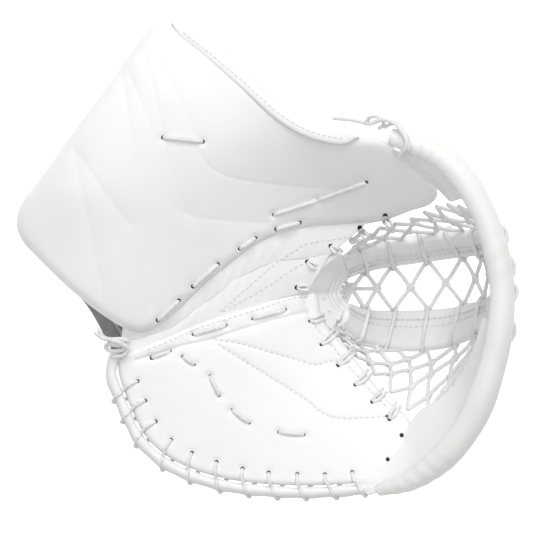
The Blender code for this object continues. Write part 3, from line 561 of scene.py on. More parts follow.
def smooth(points, count, closed=False):
    """Points evenly spaced along a smooth curve through the given ones."""
    given = np.array(points, float)
    total = len(given)
    if closed:
        padded, spans = np.vstack([given[-1], given, given[:2]]), total
    else:
        padded, spans = np.vstack([2 * given[0] - given[1], given, 2 * given[-1] - given[-2]]), total - 1
    t = np.linspace(0, 1, 12, endpoint=False)[:, None]
    fine = []
    for i in range(spans):
        a, b, c, d = padded[i : i + 4]
        fine.append(
            0.5 * (2 * b + (c - a) * t + (2 * a - 5 * b + 4 * c - d) * t**2 + (3 * b - a - 3 * c + d) * t**3)
        )
    fine = np.vstack([*fine, fine[0][:1] if closed else padded[spans + 1][None]])
    along = np.concatenate([[0], np.cumsum(np.linalg.norm(np.diff(fine, axis=0), axis=1))])
    wanted = np.linspace(0, along[-1], count + 1)[:-1] if closed else np.linspace(0, along[-1], count)
    return np.stack([np.interp(wanted, along, fine[:, k]) for k in range(fine.shape[1])], axis=1)


def evened(points, step):
    """A smooth curve through the points, with a point about every step."""
    return smooth(points, max(4, int(length_of(points) / step)))


def height_map(controls):
    """The smooth thin-plate surface z(x, y) through the control points."""
    given = np.array(controls, float)
    plan = given[:, :2] / 100
    size = len(given)

    def bend(distance):
        return distance**2 * np.log(distance + 1e-9)

    matrix = np.zeros((size + 3, size + 3))
    matrix[:size, :size] = bend(np.linalg.norm(plan[:, None] - plan[None], axis=2))
    matrix[:size, size:] = np.column_stack([np.ones(size), plan])
    matrix[size:, :size] = matrix[:size, size:].T
    weights = np.linalg.solve(matrix, np.concatenate([given[:, 2], np.zeros(3)]))

    def height(x, y):
        here = np.stack([np.ravel(x), np.ravel(y)], axis=1) / 100
        near = bend(np.linalg.norm(here[:, None] - plan[None], axis=2))
        level = near @ weights[:size] + weights[size] + here @ weights[size + 1 :]
        return level.reshape(np.shape(x))

    return height


board_height = height_map(BOARD_HEIGHTS)
palm_height = height_map(PALM_HEIGHTS)


def surface_of(name, beyond):
    """The level of a made piece's upper side at points in plan, or beyond's where the piece isn't."""
    tree = BVHTree.FromObject(bpy.data.objects[name], bpy.context.evaluated_depsgraph_get())

    def level(x, y):
        made = np.array(beyond(x, y), float)
        flat = made.reshape(-1)
        for k, spot in enumerate(zip(np.ravel(x), np.ravel(y))):
            hit = tree.ray_cast(Vector(layout((*spot, 400.0))), Vector((0, 0, -1)))[0]
            if hit:
                flat[k] = hit.z / MM
        return flat.reshape(np.shape(x))

    return level


def bump(value, middle, width):
    """A smooth bump, 1 high at middle, that fades over width."""
    return np.exp(-(((value - middle) / width) ** 2))


def flat_distance(x, y, line):
    """The distance in plan from points to a smooth line."""
    route = smooth(line, 40)
    best = np.full(np.shape(x), 1e9)
    for (ax, ay), (bx, by) in zip(route[:-1], route[1:]):
        dx, dy = bx - ax, by - ay
        share = np.clip(((x - ax) * dx + (y - ay) * dy) / (dx * dx + dy * dy + 1e-9), 0, 1)
        best = np.minimum(best, np.hypot(x - ax - share * dx, y - ay - share * dy))
    return best


def groove(x, y, line, depth, width):
    return -depth * bump(flat_distance(x, y, line), 0, width)


def dimples(x, y, spots, depth, width):
    made = np.zeros(np.shape(x))
    for sx, sy in spots:
        made -= depth * np.exp(-(((x - sx) ** 2 + (y - sy) ** 2) / width**2))
    return made


def ripple(x, y, size, seed):
    """A gentle uneven surface, the same each run."""
    draw = np.random.default_rng(seed)
    made = np.zeros(np.shape(x))
    for _ in range(RIPPLES):
        turn, phase, stretch = draw.uniform(0, 2 * math.pi, 3)
        along = x * math.cos(turn) + y * math.sin(turn)
        made += np.sin(along / size * (1 + 0.2 * math.sin(stretch)) + phase)
    return made / RIPPLES


def frames(path):
    """For each point of a path, its direction and two directions across it that don't twist."""
    ahead = unit(np.gradient(path, axis=0))
    side = np.empty_like(ahead)
    first = np.cross([0.0, 0.0, 1.0], ahead[0])
    side[0] = unit(first if np.linalg.norm(first) > 0.1 else np.cross([0.0, 1.0, 0.0], ahead[0]))
    for i in range(1, len(path)):
        carried = side[i - 1] - ahead[i] * (side[i - 1] @ ahead[i])
        side[i] = unit(carried)
    return ahead, side, np.cross(ahead, side)


def around(side, over, count):
    """For each point of a path, directions evenly round it."""
    turns = np.arange(count) * 2 * math.pi / count
    return np.cos(turns)[None, :, None] * side[:, None] + np.sin(turns)[None, :, None] * over[:, None]


def length_of(line):
    return np.linalg.norm(np.diff(np.array(line, float), axis=0), axis=1).sum()


def pairs(holes):
    """Each hole that a lace comes up through, with the one that it goes down."""
    return list(zip(holes[::2], holes[1::2]))


# ---------------------------------------------------------------- shapes and pieces


def deselect():
    bpy.ops.object.select_all(action="DESELECT")


def select(piece):
    deselect()
    piece.select_set(True)
    bpy.context.view_layer.objects.active = piece


ball_stock = {}


def ball(segments, rings):
    """A UV sphere as stock for rolls and pads: its vertices' ring and turn, its faces, triangles and UVs."""
    if (segments, rings) in ball_stock:
        return ball_stock[segments, rings]
    deselect()
    bpy.ops.mesh.primitive_uv_sphere_add(segments=segments, ring_count=rings + 1, radius=1)
    stock = bpy.context.object
    data = stock.data
    spots = np.array([v.co for v in data.vertices], float)
    tilt = np.arctan2(np.hypot(spots[:, 0], spots[:, 1]), spots[:, 2])
    ring = np.rint(tilt / math.pi * (rings + 1)).astype(int)
    turn = np.rint(np.arctan2(spots[:, 1], spots[:, 0]) / (2 * math.pi) * segments).astype(int) % segments
    faces = [tuple(face.vertices) for face in data.polygons]
    data.calc_loop_triangles()
    triangles = np.array([tri.vertices for tri in data.loop_triangles])
    uvs = np.array([loop.uv for loop in data.uv_layers[0].data], float)
    bpy.data.objects.remove(stock)
    bpy.data.meshes.remove(data)
    ball_stock[segments, rings] = (ring, turn, faces, triangles, uvs)
    return ball_stock[segments, rings]


def roll(rings, tips=None):
    """A closed shape through rings of equal length, with a point at each end, its faces outwards."""
    rings = np.asarray(rings, float)
    count, segments = rings.shape[:2]
    ring, turn, faces, triangles, uvs = ball(segments, count)
    ends = tips if tips is not None else (rings[0].mean(axis=0), rings[-1].mean(axis=0))
    between = (ring > 0) & (ring <= count)

    def placed(rows):
        spots = np.empty((len(ring), 3))
        spots[between] = rows[ring[between] - 1, turn[between]]
        spots[ring == 0] = ends[0]
        spots[ring == count + 1] = ends[1]
        return spots

    spots = placed(rings)
    local = spots - spots.mean(axis=0)
    a, b, c = (local[triangles[:, k]] for k in range(3))
    if (a * np.cross(b, c)).sum() < 0:
        spots = placed(rings[:, ::-1])
    middle = rings[count // 2]
    girth = np.linalg.norm(middle - np.roll(middle, 1, axis=0), axis=1).sum()
    return spots, faces, uvs * (girth, length_of(rings.mean(axis=1)))


def make_piece(name, shapes, material):
    """One object from closed shapes in layout millimetres, with UVs in millimetres."""
    spots, faces, start = [], [], 0
    for shape_spots, shape_faces, _ in shapes:
        spots.append(layout(shape_spots))
        faces += [tuple(v + start for v in face) for face in shape_faces]
        start += len(shape_spots)
    data = bpy.data.meshes.new(name)
    data.from_pydata(np.vstack(spots).tolist(), [], faces)
    layer = data.uv_layers.new(name="UVMap")
    layer.data.foreach_set("uv", np.vstack([uv for _, _, uv in shapes]).ravel())
    data.shade_smooth()
    piece = bpy.data.objects.new(name, data)
    bpy.context.scene.collection.objects.link(piece)
    data.materials.append(finish(material))
    return piece


def spots_of(piece):
    """A piece's vertices in layout millimetres."""
    spots = np.empty(len(piece.data.vertices) * 3)
    piece.data.vertices.foreach_get("co", spots)
    return spots.reshape(-1, 3) / MM + LAYOUT_ORIGIN


def set_spots(piece, spots):
    piece.data.vertices.foreach_set("co", layout(spots).ravel())
    piece.data.update()


def subdivided(piece, levels):
    select(piece)
    fine = piece.modifiers.new("fine", "SUBSURF")
    fine.levels = levels
    fine.render_levels = levels
    bpy.ops.object.modifier_apply(modifier=fine.name)
    return piece


def swollen(piece, held, pressure, cap):
    """Blows a closed piece up with Blender's cloth: held is 1 where the leather is sewn down, and no point
    moves further than cap."""
    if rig.quick():
        return piece
    scene = bpy.context.scene
    before = spots_of(piece)
    group = piece.vertex_groups.new(name="sewn")
    for index, weight in enumerate(held):
        group.add([index], float(weight), "REPLACE")
    select(piece)
    cloth = piece.modifiers.new("cloth", "CLOTH")
    cloth.settings.quality = CLOTH_QUALITY
    cloth.settings.mass = CLOTH_MASS
    cloth.settings.use_pressure = True
    cloth.settings.uniform_pressure_force = pressure
    cloth.settings.effector_weights.gravity = 0
    cloth.settings.vertex_group_mass = group.name
    cloth.point_cache.frame_start = 1
    cloth.point_cache.frame_end = CLOTH_FRAMES
    for number in range(1, CLOTH_FRAMES + 1):
        scene.frame_set(number)
    bpy.ops.object.modifier_apply(modifier=cloth.name)
    scene.frame_set(1)
    piece.vertex_groups.clear()
    moved = spots_of(piece) - before
    reach = np.linalg.norm(moved, axis=1, keepdims=True)
    set_spots(piece, before + moved * np.minimum(1, cap / np.maximum(reach, 1e-6)))
    return piece


def tube(path, radius, sides=10, ends=True):
    """A round cord along a path, its ends rounded over."""
    path = np.asarray(path, float)
    ahead, side, over = frames(path)
    wide = np.full(len(path), float(radius))
    if ends:
        wide[[0, -1]] *= 0.6
    tips = (path[0] - ahead[0] * radius * 0.4, path[-1] + ahead[-1] * radius * 0.4)
    return roll(path[:, None] + around(side, over, sides) * wide[:, None, None], tips)


def cord(points, radius):
    """A lace through the points."""
    return tube(evened(points, LACE_STEP), radius)


def slab(edge_a, edge_b, thick, along, across, crown=0.0, face=None, back=None):
    """A soft-edged slab between two edges. face and back add height, from shares along and across it."""
    a, b = smooth(edge_a, along), smooth(edge_b, along)
    reach = b - a
    width = np.linalg.norm(reach, axis=1)
    out = unit(np.cross(unit(np.gradient((a + b) / 2, axis=0)), unit(reach)))
    share = (1 - np.cos(np.linspace(0, math.pi, across))) / 2
    near = np.minimum(share, 1 - share)[None] * width[:, None]
    half = thick / 2
    depth = half * np.sqrt(np.clip(1 - (1 - np.minimum(near, half) / half) ** 2, 0.02, 1))
    bulge = crown * np.sin(math.pi * share)[None]
    u, s = np.linspace(0, 1, along)[:, None], share[None]
    top = depth + bulge + (face(u, s) if face else 0)
    low = depth - bulge + (back(u, s) if back else 0)
    body = a[:, None] + reach[:, None] * share[None, :, None]
    upper = body + out[:, None] * top[..., None]
    under = body - out[:, None] * low[..., None]
    return roll(np.concatenate([upper, under[:, ::-1]], axis=1))


def panel(outline, centre, height, drop, thick, fineness, under_rows=6):
    """A padded panel: rings from its middle to its outline, over a rolled edge and back underneath. fineness
    is the points round its outline, its rings, and the width of the rolled edge."""
    points, rows, roll_width = fineness
    edge = smooth(outline, points, closed=True)
    ahead = unit(np.roll(edge, -1, axis=0) - np.roll(edge, 1, axis=0))
    out = np.stack([ahead[:, 1], -ahead[:, 0]], axis=1)
    middle = np.array(centre, float)
    if ((edge - middle) * out).sum() < 0:
        out = -out
    inset = edge - out * roll_width
    rings = []

    def add(plan, depth):
        rings.append(np.column_stack([plan, height(plan[:, 0], plan[:, 1]) - drop - depth]))

    for share in np.linspace(1.0 / rows, 1, rows):
        add(middle + (inset - middle) * share, 0)
    for tilt in np.linspace(0, math.pi, 8)[1:-1]:
        add(inset + out * roll_width * math.sin(tilt), thick / 2 * (1 - math.cos(tilt)))
    for share in np.linspace(1, 1.0 / under_rows, under_rows):
        add(middle + (inset - middle) * share, thick)
    tips = [(*centre, float(height(*np.array(centre, float))) - drop - depth) for depth in (0, thick)]
    return roll(rings, np.array(tips))


def capsules(spots, ahead, length, radius):
    """Stitches: short round shapes along their directions."""
    made = []
    for spot, way in zip(np.asarray(spots, float), unit(np.atleast_2d(ahead))):
        path = spot + way * np.array([[-0.42], [0.0], [0.42]]) * length
        side = unit(np.cross(way, [0.0, 0.0, 1.0]))
        over = np.cross(way, side)
        turns = np.arange(6) * math.pi / 3
        ring = np.cos(turns)[:, None] * side + np.sin(turns)[:, None] * over
        rings = path[:, None] + ring[None] * np.array([0.75, 1.0, 0.75])[:, None, None] * radius
        made.append(roll(rings, (spot - way * length / 2, spot + way * length / 2)))
    return made


def stitch_row(route):
    """Stitches along a route in space."""
    size = sizes()
    path = evened(route, size["stitch_step"])
    middles = (path[1:] + path[:-1]) / 2
    return capsules(middles, np.diff(path, axis=0), size["stitch"], STITCH_RADIUS)


def on_surface(line, height, lift, step=3.0):
    """A plan line laid on a surface."""
    plan = evened(line, step)
    return np.column_stack([plan, height(plan[:, 0], plan[:, 1]) + lift])


def knot(spot, ahead, across, size, radius):
    """A tight three-lobed knot lying in the net."""
    t = np.linspace(0, 2 * math.pi, 30)
    u, v = np.sin(t) + 2 * np.sin(2 * t), np.cos(t) - 2 * np.cos(2 * t)
    w = -np.sin(3 * t) * 1.5
    up = unit(np.cross(ahead, across))
    path = spot + (u[:, None] * unit(ahead) + v[:, None] * unit(across) + w[:, None] * up) * size / 3
    return tube(path, radius, 8)


# ---------------------------------------------------------------- finishes


def add_node(tree, kind, spot, inputs=None, **values):
    """A shader node at a spot of the tree, with its settings, and what goes into its sockets."""
    made = tree.nodes.new(kind)
    made.location = spot
    for name, value in values.items():
        setattr(made, name, value)
    for label, value in (inputs or {}).items():
        plug(tree, value, made.inputs[label])
    return made


def plug(tree, value, socket):
    """Gives a socket its value, or links it to the socket that the value comes from."""
    if isinstance(value, bpy.types.NodeSocket):
        tree.links.new(value, socket)
    else:
        socket.default_value = value


def shared_group(name, inputs, outputs):
    """A new shader group with float inputs, given as (name, default), and float outputs."""
    group = bpy.data.node_groups.new(name, "ShaderNodeTree")
    for label, default in inputs:
        socket = group.interface.new_socket(label, in_out="INPUT", socket_type="NodeSocketFloat")
        socket.default_value = default
    for label in outputs:
        group.interface.new_socket(label, in_out="OUTPUT", socket_type="NodeSocketFloat")
    start = add_node(group, "NodeGroupInput", (-900, 0))
    end = add_node(group, "NodeGroupOutput", (700, 0))
    return group, start.outputs, end.inputs


def math_node(tree, operation, spot, first, second=0.0):
    made = add_node(tree, "ShaderNodeMath", spot, operation=operation)
    plug(tree, first, made.inputs[0])
    plug(tree, second, made.inputs[1])
    return made.outputs[0]


def leather_group(name):
    """Leather: fine pebbled grain with pores, long soft creases, and an uneven tone."""
    group, start, end = shared_group(
        name, [("Grain size", 900.0), ("Crease size", 60.0), ("Crease share", 0.5)],
        ["Height", "Tone", "Polish"],
    )
    place = add_node(group, "ShaderNodeTexCoord", (-900, -300)).outputs["Object"]
    grain = {"Vector": place, "Scale": start["Grain size"]}
    cells = add_node(group, "ShaderNodeTexVoronoi", (-600, 200), grain, feature="DISTANCE_TO_EDGE")
    pore_size = math_node(group, "MULTIPLY", (-750, -50), start["Grain size"], 1.9)
    pore = {"Vector": place, "Scale": pore_size, "Detail": 3.0}
    pores = add_node(group, "ShaderNodeTexNoise", (-600, -50), pore).outputs[0]
    crease = {"Vector": place, "Scale": start["Crease size"], "Detail": 4.0, "Distortion": 0.4}
    creases = add_node(
        group, "ShaderNodeTexNoise", (-600, -300), crease, noise_type="RIDGED_MULTIFRACTAL"
    ).outputs[0]
    patch = {"Vector": place, "Scale": 22.0, "Detail": 5.0}
    cloud = add_node(group, "ShaderNodeTexNoise", (-600, -560), patch).outputs[0]
    pebble = math_node(group, "MINIMUM", (-350, 200), cells.outputs["Distance"], 0.22)
    pebble = math_node(group, "MULTIPLY", (-200, 200), pebble, 2.2)
    fine = math_node(group, "MULTIPLY", (-350, -50), pores, 0.5)
    lines = math_node(group, "MULTIPLY", (-350, -300), creases, start["Crease share"])
    grain_height = math_node(group, "ADD", (-50, 0), pebble, fine)
    plug(group, math_node(group, "ADD", (0, 100), grain_height, lines), end["Height"])
    plug(group, cloud, end["Tone"])
    plug(group, math_node(group, "ADD", (200, -400), cloud, fine), end["Polish"])
    return group


def braid_group(name):
    """A braided cord on its own UVs: two crossing sets of strands."""
    group, start, end = shared_group(name, [("Strand width", 1.3)], ["Height", "Tone"])
    place = add_node(group, "ShaderNodeTexCoord", (-900, -300)).outputs
    split = add_node(group, "ShaderNodeSeparateXYZ", (-750, -300), {"Vector": place["UV"]}).outputs
    waves = []
    for row, sign in enumerate((1.0, -1.0)):
        across = math_node(group, "MULTIPLY", (-600, -200 * row), split["X"], sign * 0.8)
        slope = math_node(group, "ADD", (-450, -200 * row), across, split["Y"])
        turns = math_node(group, "DIVIDE", (-300, -200 * row), slope, start["Strand width"])
        angle = math_node(group, "MULTIPLY", (-150, -200 * row), turns, 2 * math.pi)
        waves.append(math_node(group, "SINE", (0, -200 * row), angle))
    height = math_node(group, "MAXIMUM", (200, 0), *waves)
    plug(group, height, end["Height"])
    cloud = {"Vector": place["Object"], "Scale": 90.0}
    noise = add_node(group, "ShaderNodeTexNoise", (-300, -600), cloud).outputs[0]
    # Painted shade: the tone is darker between the strands, where the braid is low; the noise adds random tone
    shade = math_node(group, "MULTIPLY", (300, -200), height, 0.25)
    plug(group, math_node(group, "ADD", (450, -200), shade, noise), end["Tone"])
    return group


def weave_group(name):
    """A plain weave on object coordinates, with fuzz: coarse for webbing and fine for knit."""
    group, start, end = shared_group(
        name, [("Thread size", 900.0), ("Fuzz size", 2500.0), ("Fuzz share", 0.4)], ["Height", "Tone"]
    )
    place = add_node(group, "ShaderNodeTexCoord", (-900, -300)).outputs["Object"]
    split = add_node(group, "ShaderNodeSeparateXYZ", (-750, -300), {"Vector": place}).outputs
    waves = []
    for row, axis in enumerate("XYZ"):
        angle = math_node(group, "MULTIPLY", (-450, -160 * row), split[axis], start["Thread size"])
        waves.append(math_node(group, "SINE", (-300, -160 * row), angle))
    weave = math_node(group, "MULTIPLY", (-100, 0), waves[0], waves[1])
    weave = math_node(group, "ADD", (50, 0), weave, math_node(group, "MULTIPLY", (-100, -200), waves[2], 0.6))
    hairs = {"Vector": place, "Scale": start["Fuzz size"], "Detail": 4.0}
    fuzz = add_node(group, "ShaderNodeTexNoise", (-450, -600), hairs).outputs[0]
    hair = math_node(group, "MULTIPLY", (-200, -500), fuzz, start["Fuzz share"])
    height = math_node(group, "ADD", (250, 0), math_node(group, "MULTIPLY", (150, 0), weave, 0.5), hair)
    plug(group, height, end["Height"])
    # Painted shade: the tone follows the height, darker in the weave's low places; the fuzz part is random tone
    plug(group, math_node(group, "MULTIPLY", (300, -200), height, 0.6), end["Tone"])
    return group


GROUPS = {"leather_surface": leather_group, "braided_cord": braid_group, "plain_weave": weave_group}

# Each material: its shader group, its colour, how dark its tone goes, its roughness, the height of its bump
# in metres, the group's inputs in their order, and the shader's own settings
# For the braided_cord and plain_weave finishes, how dark the tone goes is also how deep the painted shade in the
# strands' low places goes
FINISHES = {
    "board_hide": ("leather_surface", "board", 0.965, 0.42, 0.00006, (1100.0, 26.0, 0.35),
                   {"Coat Weight": 0.12, "Coat Roughness": 0.35}),
    "palm_hide": ("leather_surface", "palm", 0.97, 0.52, 0.00007, (1000.0, 34.0, 0.5),
                  {"Coat Weight": 0.05, "Coat Roughness": 0.45}),
    "rim_hide": ("leather_surface", "rim", 0.955, 0.44, 0.0001, (950.0, 70.0, 0.8),
                 {"Coat Weight": 0.12, "Coat Roughness": 0.35}),
    "pocket_hide": ("leather_surface", "pocket", 0.95, 0.45, 0.00008, (1000.0, 48.0, 0.6),
                    {"Coat Weight": 0.1, "Coat Roughness": 0.4}),
    "buckle_plastic": ("leather_surface", "buckle", 0.8, 0.38, 0.00002, (2500.0, 40.0, 0.1), {}),
    "lace_cord": ("braided_cord", "lace", 0.94, 0.55, 0.00016, (1.5,), {"Sheen Weight": 0.1}),
    "sewing_thread": ("braided_cord", "thread", 0.85, 0.6, 0.00005, (0.5,), {}),
    # A near-black finish that paints the shade inside the lace holes
    "hole_shade_paint": ("plain_weave", "hole", 0.7, 0.9, 0.0001, (), {}),
    "knit_liner": ("plain_weave", "liner", 0.6, 0.9, 0.0003, (2200.0, 1500.0, 0.8), {"Sheen Weight": 0.4}),
    "strap_webbing": ("plain_weave", "strap", 0.5, 0.75, 0.00035, (2800.0, 3000.0, 0.3),
                      {"Sheen Weight": 0.15}),
}
TONE_SPAN = (0.25, 0.75)
ROUGHNESS_SPREAD = 0.06

finishes = {}


def finish(name):
    """A named material: its group's tone darkens the colour, and the group's height drives the bump."""
    if name in finishes:
        return finishes[name]
    group_name, colour_name, dark, roughness, relief, amounts, own = FINISHES[name]
    group = bpy.data.node_groups.get(group_name) or GROUPS[group_name](group_name)
    made = finishes[name] = bpy.data.materials.new(name)
    made.use_nodes = True
    tree = made.node_tree
    shader = tree.nodes["Principled BSDF"].inputs
    for label, value in own.items():
        shader[label].default_value = value
    pattern = add_node(tree, "ShaderNodeGroup", (-800, 100), node_tree=group)
    for socket, value in zip(pattern.inputs, amounts):
        socket.default_value = value
    tone = {"Value": pattern.outputs["Tone"], "From Min": TONE_SPAN[0], "From Max": TONE_SPAN[1]}
    share = add_node(tree, "ShaderNodeMapRange", (-600, 200), tone).outputs["Result"]
    base = colour(colour_name)
    shades = {"Factor": share, "A": (*(c * dark for c in base), 1), "B": (*base, 1)}
    mix = add_node(tree, "ShaderNodeMix", (-350, 250), shades, data_type="RGBA")
    plug(tree, mix.outputs["Result"], shader["Base Color"])
    polish = pattern.outputs["Polish" if "Polish" in pattern.outputs else "Tone"]
    span = {"Value": polish, "To Min": roughness - ROUGHNESS_SPREAD, "To Max": roughness + ROUGHNESS_SPREAD}
    rough = add_node(tree, "ShaderNodeMapRange", (-350, -50), span)
    plug(tree, rough.outputs["Result"], shader["Roughness"])
    grain = {"Distance": relief, "Strength": 1.0, "Height": pattern.outputs["Height"]}
    plug(tree, add_node(tree, "ShaderNodeBump", (-350, -300), grain).outputs["Normal"], shader["Normal"])
    return made


# ---------------------------------------------------------------- placing on the bodies


def finished(piece, slot, *nodes, body=None, fill=None, sheet=None):
    """Gives a piece its slot, its body, the parts it stands for, and what soft thing it is."""
    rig.slot(piece, slot)
    if nodes:
        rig.replaces(piece, *nodes)
    if body:
        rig.ride(piece, body)
    if fill is not None:
        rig.padded(piece, fill)
    if sheet:
        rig.sheet(piece, **sheet)
    return piece


def laced(name, shapes, *nodes, body=None):
    """A finished piece made of lace."""
    return finished(make_piece(name, shapes, "lace_cord"), "lace", *nodes, body=body)


def stitched(name, shapes, slot, body=None):
    """A finished piece made of stitches."""
    return finished(make_piece(name, shapes, "sewing_thread"), slot, body=body)


def bend_between(piece, a, b, start, end):
    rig.blend(piece, a, b, tuple(layout(start)), tuple(layout(end)))


def across_crease(piece, a, b, near, far):
    """Bends a piece over the crease, from near to far millimetres in front of it."""
    bend_between(piece, a, b, CREASE_START + CREASE_ACROSS * near, CREASE_START + CREASE_ACROSS * far)


def flat_cut(length, width, piece, held):
    """A thin piece's declaration as a sheet, from its length and mean width in millimetres."""
    area = sum(face.area for face in piece.data.polygons) / 2
    long = length * MM
    wide = max(width * MM, area / long)
    return {"flat": (wide, long), "held": held, "area": min(area, wide * long)}


# ---------------------------------------------------------------- the pieces


def make_padding(name, material, outline, centre, height, thick, fineness, seams, widths, swell, relief):
    """A padded panel, blown up between its seams, with relief(x, y) in its upper side. widths are how far a
    seam and the edge hold the leather down, and how deep into the panel the relief fades out."""
    piece = make_piece(name, [panel(outline, centre, height, 0, thick, fineness)], material)
    spots = spots_of(piece)
    x, y = spots[:, 0], spots[:, 1]
    top = spots[:, 2] > height(x, y) - thick / 2
    sewn = bump(np.min([flat_distance(x, y, line) for line in seams], axis=0), 0, widths[0])
    edge = bump(flat_distance(x, y, outline + outline[:1]), 0, widths[1])
    held = np.clip(np.maximum(sewn, edge), LEAST_HELD, 1)
    swollen(piece, np.where(top, held, 1.0), PRESSURE, swell)
    subdivided(piece, 2)
    spots = spots_of(piece)
    x, y = spots[:, 0], spots[:, 1]
    depth = height(x, y) - spots[:, 2]
    spots[:, 2] += relief(x, y) * np.clip(1 - np.maximum(depth, 0) / widths[2], 0, 1)
    set_spots(piece, spots)
    return piece


def make_board():
    size = sizes()

    def relief(x, y):
        made = 0.25 * ripple(x, y, 14.0, SEED)
        for line in BOARD_CREASES:
            made += groove(x, y, line, size["crease"] * 0.5, 1.8) + groove(x, y, line, size["crease"], 7.0)
        made += dimples(x, y, BREAK_HOLES + THUMB_HOLES + CUFF_HOLES, 1.3, 3.2)
        for first, second in pairs(BREAK_HOLES):
            made += groove(x, y, [first, second], 0.8, 3.0)
        return made + groove(x, y, THUMB_HOLES, 0.9, 3.0)

    board = make_padding("cuff_board", "board_hide", BOARD_OUTLINE, BOARD_CENTRE, board_height, size["board"],
                         BOARD_FINENESS, BOARD_CREASES, (7, 9, 9), size["swell"] * BOARD_SWELL, relief)
    finished(board, "board_leather", "cuff_thumb_board", body="thumb_side", fill=0.7)


def make_side_band():
    edge = smooth(BOARD_OUTLINE[:8], 90)
    ahead = unit(np.gradient(edge, axis=0))
    out = np.stack([-ahead[:, 1], ahead[:, 0]], axis=1)
    level = board_height(edge[:, 0], edge[:, 1])
    section = smooth(BAND_SECTION, 24, closed=True)
    taper = np.sin(np.clip(np.linspace(0, 1, len(edge)) * 12, 0, 1) * math.pi / 2)
    taper = np.minimum(taper, taper[::-1])
    rings = []
    for (x, y), (nx, ny), z, small in zip(edge, out, level, taper):
        tall = 0.6 + 0.4 * small
        rings.append([(x + nx * u * small, y + ny * u * small, z + w * tall) for u, w in section])
    band = make_piece("cuff_edge_band", [roll(rings)], "board_hide")
    finished(band, "board_leather", "cuff_side_wall", body="thumb_side", fill=0.6)
    seam = np.column_stack([edge - out * 2.0, level + 0.55])[6:-6]
    stitched("cuff_edge_stitching", stitch_row(seam), "board_leather", "thumb_side")


def lace_radius():
    return sizes()["lace"] / 2


def lace_run(first, second, level):
    """A lace that comes up through one hole and goes down the next, lying on the leather between."""
    radius = lace_radius()
    first, second = np.array(first, float), np.array(second, float)
    inward = unit(second - first) * 0.9
    first, second = first + inward, second - inward
    points = [(*first, float(level(*first)) - LACE_DIVE)]
    for share, lift in LACE_RUN:
        spot = first + (second - first) * share
        points.append((*spot, float(level(*spot)) + radius * lift))
    points.append((*second, float(level(*second)) - LACE_DIVE))
    return cord(points, radius)


def hole_shade_shapes(holes, level):
    """The dark mouths of lace holes."""
    shapes = []
    turns = np.arange(12) * math.pi / 6
    for x, y in holes:
        middle = float(level(x, y))
        rings = []
        for wide, lift in HOLE_SHADE_PROFILE:
            plan = np.stack([x + wide * np.cos(turns), y + wide * np.sin(turns)], axis=1)
            tilt = level(plan[:, 0], plan[:, 1]) - middle
            rings.append(np.column_stack([plan, middle + lift + tilt - tilt.mean()]))
        shapes.append(roll(rings))
    return shapes


# Near-black shapes that paint the shade inside the lace holes
def hole_shade_marks(name, holes, level, body=None):
    return finished(make_piece(name, hole_shade_shapes(holes, level), "hole_shade_paint"), "lace", body=body)


def make_board_laces():
    level = surface_of("cuff_board", board_height)
    for name, spans, node in (
        ("break_lacing", pairs(BREAK_HOLES), "break_lace"),
        ("thumb_lacing", zip(THUMB_HOLES[:-1], THUMB_HOLES[1:]), "thumb_lace"),
        ("cuff_lacing", pairs(CUFF_HOLES), "cuff_lace"),
    ):
        laced(name, [lace_run(a, b, level) for a, b in spans], node, body="thumb_side")
    # Painted shade: dark marks in the board's lace holes
    hole_shade_marks("board_hole_shade", BREAK_HOLES + THUMB_HOLES + CUFF_HOLES, level, "thumb_side")


def make_palm():
    size = sizes()

    def relief(x, y):
        made = 0.3 * ripple(x, y, 12.0, SEED + 1)
        deep = size["seam"]
        made += groove(x, y, STRIP_SEAM, deep * 1.3, 1.1) + groove(x, y, STRIP_SEAM, deep, 4.0)
        for line in PALM_SEAMS + [POCKET_SEAM]:
            made += groove(x, y, line, deep * 0.7, 1.3) + groove(x, y, line, deep * 0.6, 5.0)
        made += dimples(x, y, ALL_PALM_HOLES, 1.3, 3.0)
        for first, second in pairs(PALM_HOLES) + pairs(STRIP_HOLES):
            made += groove(x, y, [first, second], 0.8, 3.0)
        return made

    palm = make_padding("palm", "palm_hide", PALM_OUTLINE, PALM_CENTRE, palm_height, size["palm"],
                        PALM_FINENESS, PALM_SEAMS + [STRIP_SEAM, POCKET_SEAM], (6, 8, 7), size["swell"], relief)
    finished(palm, "palm_leather", "palm_face", body="finger_side", fill=0.6)
    level = surface_of("palm", palm_height)
    rows = []
    for line in PALM_SEAMS + [POCKET_SEAM, STRIP_EDGE_SEAM]:
        rows += stitch_row(on_surface(line, level, 0.12))
    stitched("palm_stitching", rows, "palm_leather", "finger_side")


def edge_tie(hole, over, under, level):
    """A doubled lace from a hole over the leather's edge and down behind it."""
    radius = lace_radius()
    hole, over, under = (np.array(p, float) for p in (hole, over, under))
    across = unit(np.cross(np.append(over[:2] - hole, 0), [0, 0, 1.0]))[:2] * radius
    runs = []
    for side in (-0.9, 0.9):
        start = hole + across * side * 0.3 + unit(over[:2] - hole) * 0.8
        middle = (start + over[:2]) / 2 + across * side
        points = [(*start, float(level(*start)) - 3), (*start, float(level(*start)) - 0.2),
                  (*middle, float(level(*middle)) + radius * 0.9),
                  (*(over[:2] + across * side * 1.2), over[2] + radius * 0.8),
                  tuple(under + np.append(across * side * 1.4, 0))]
        runs.append(cord(points, radius * 0.85))
    return runs


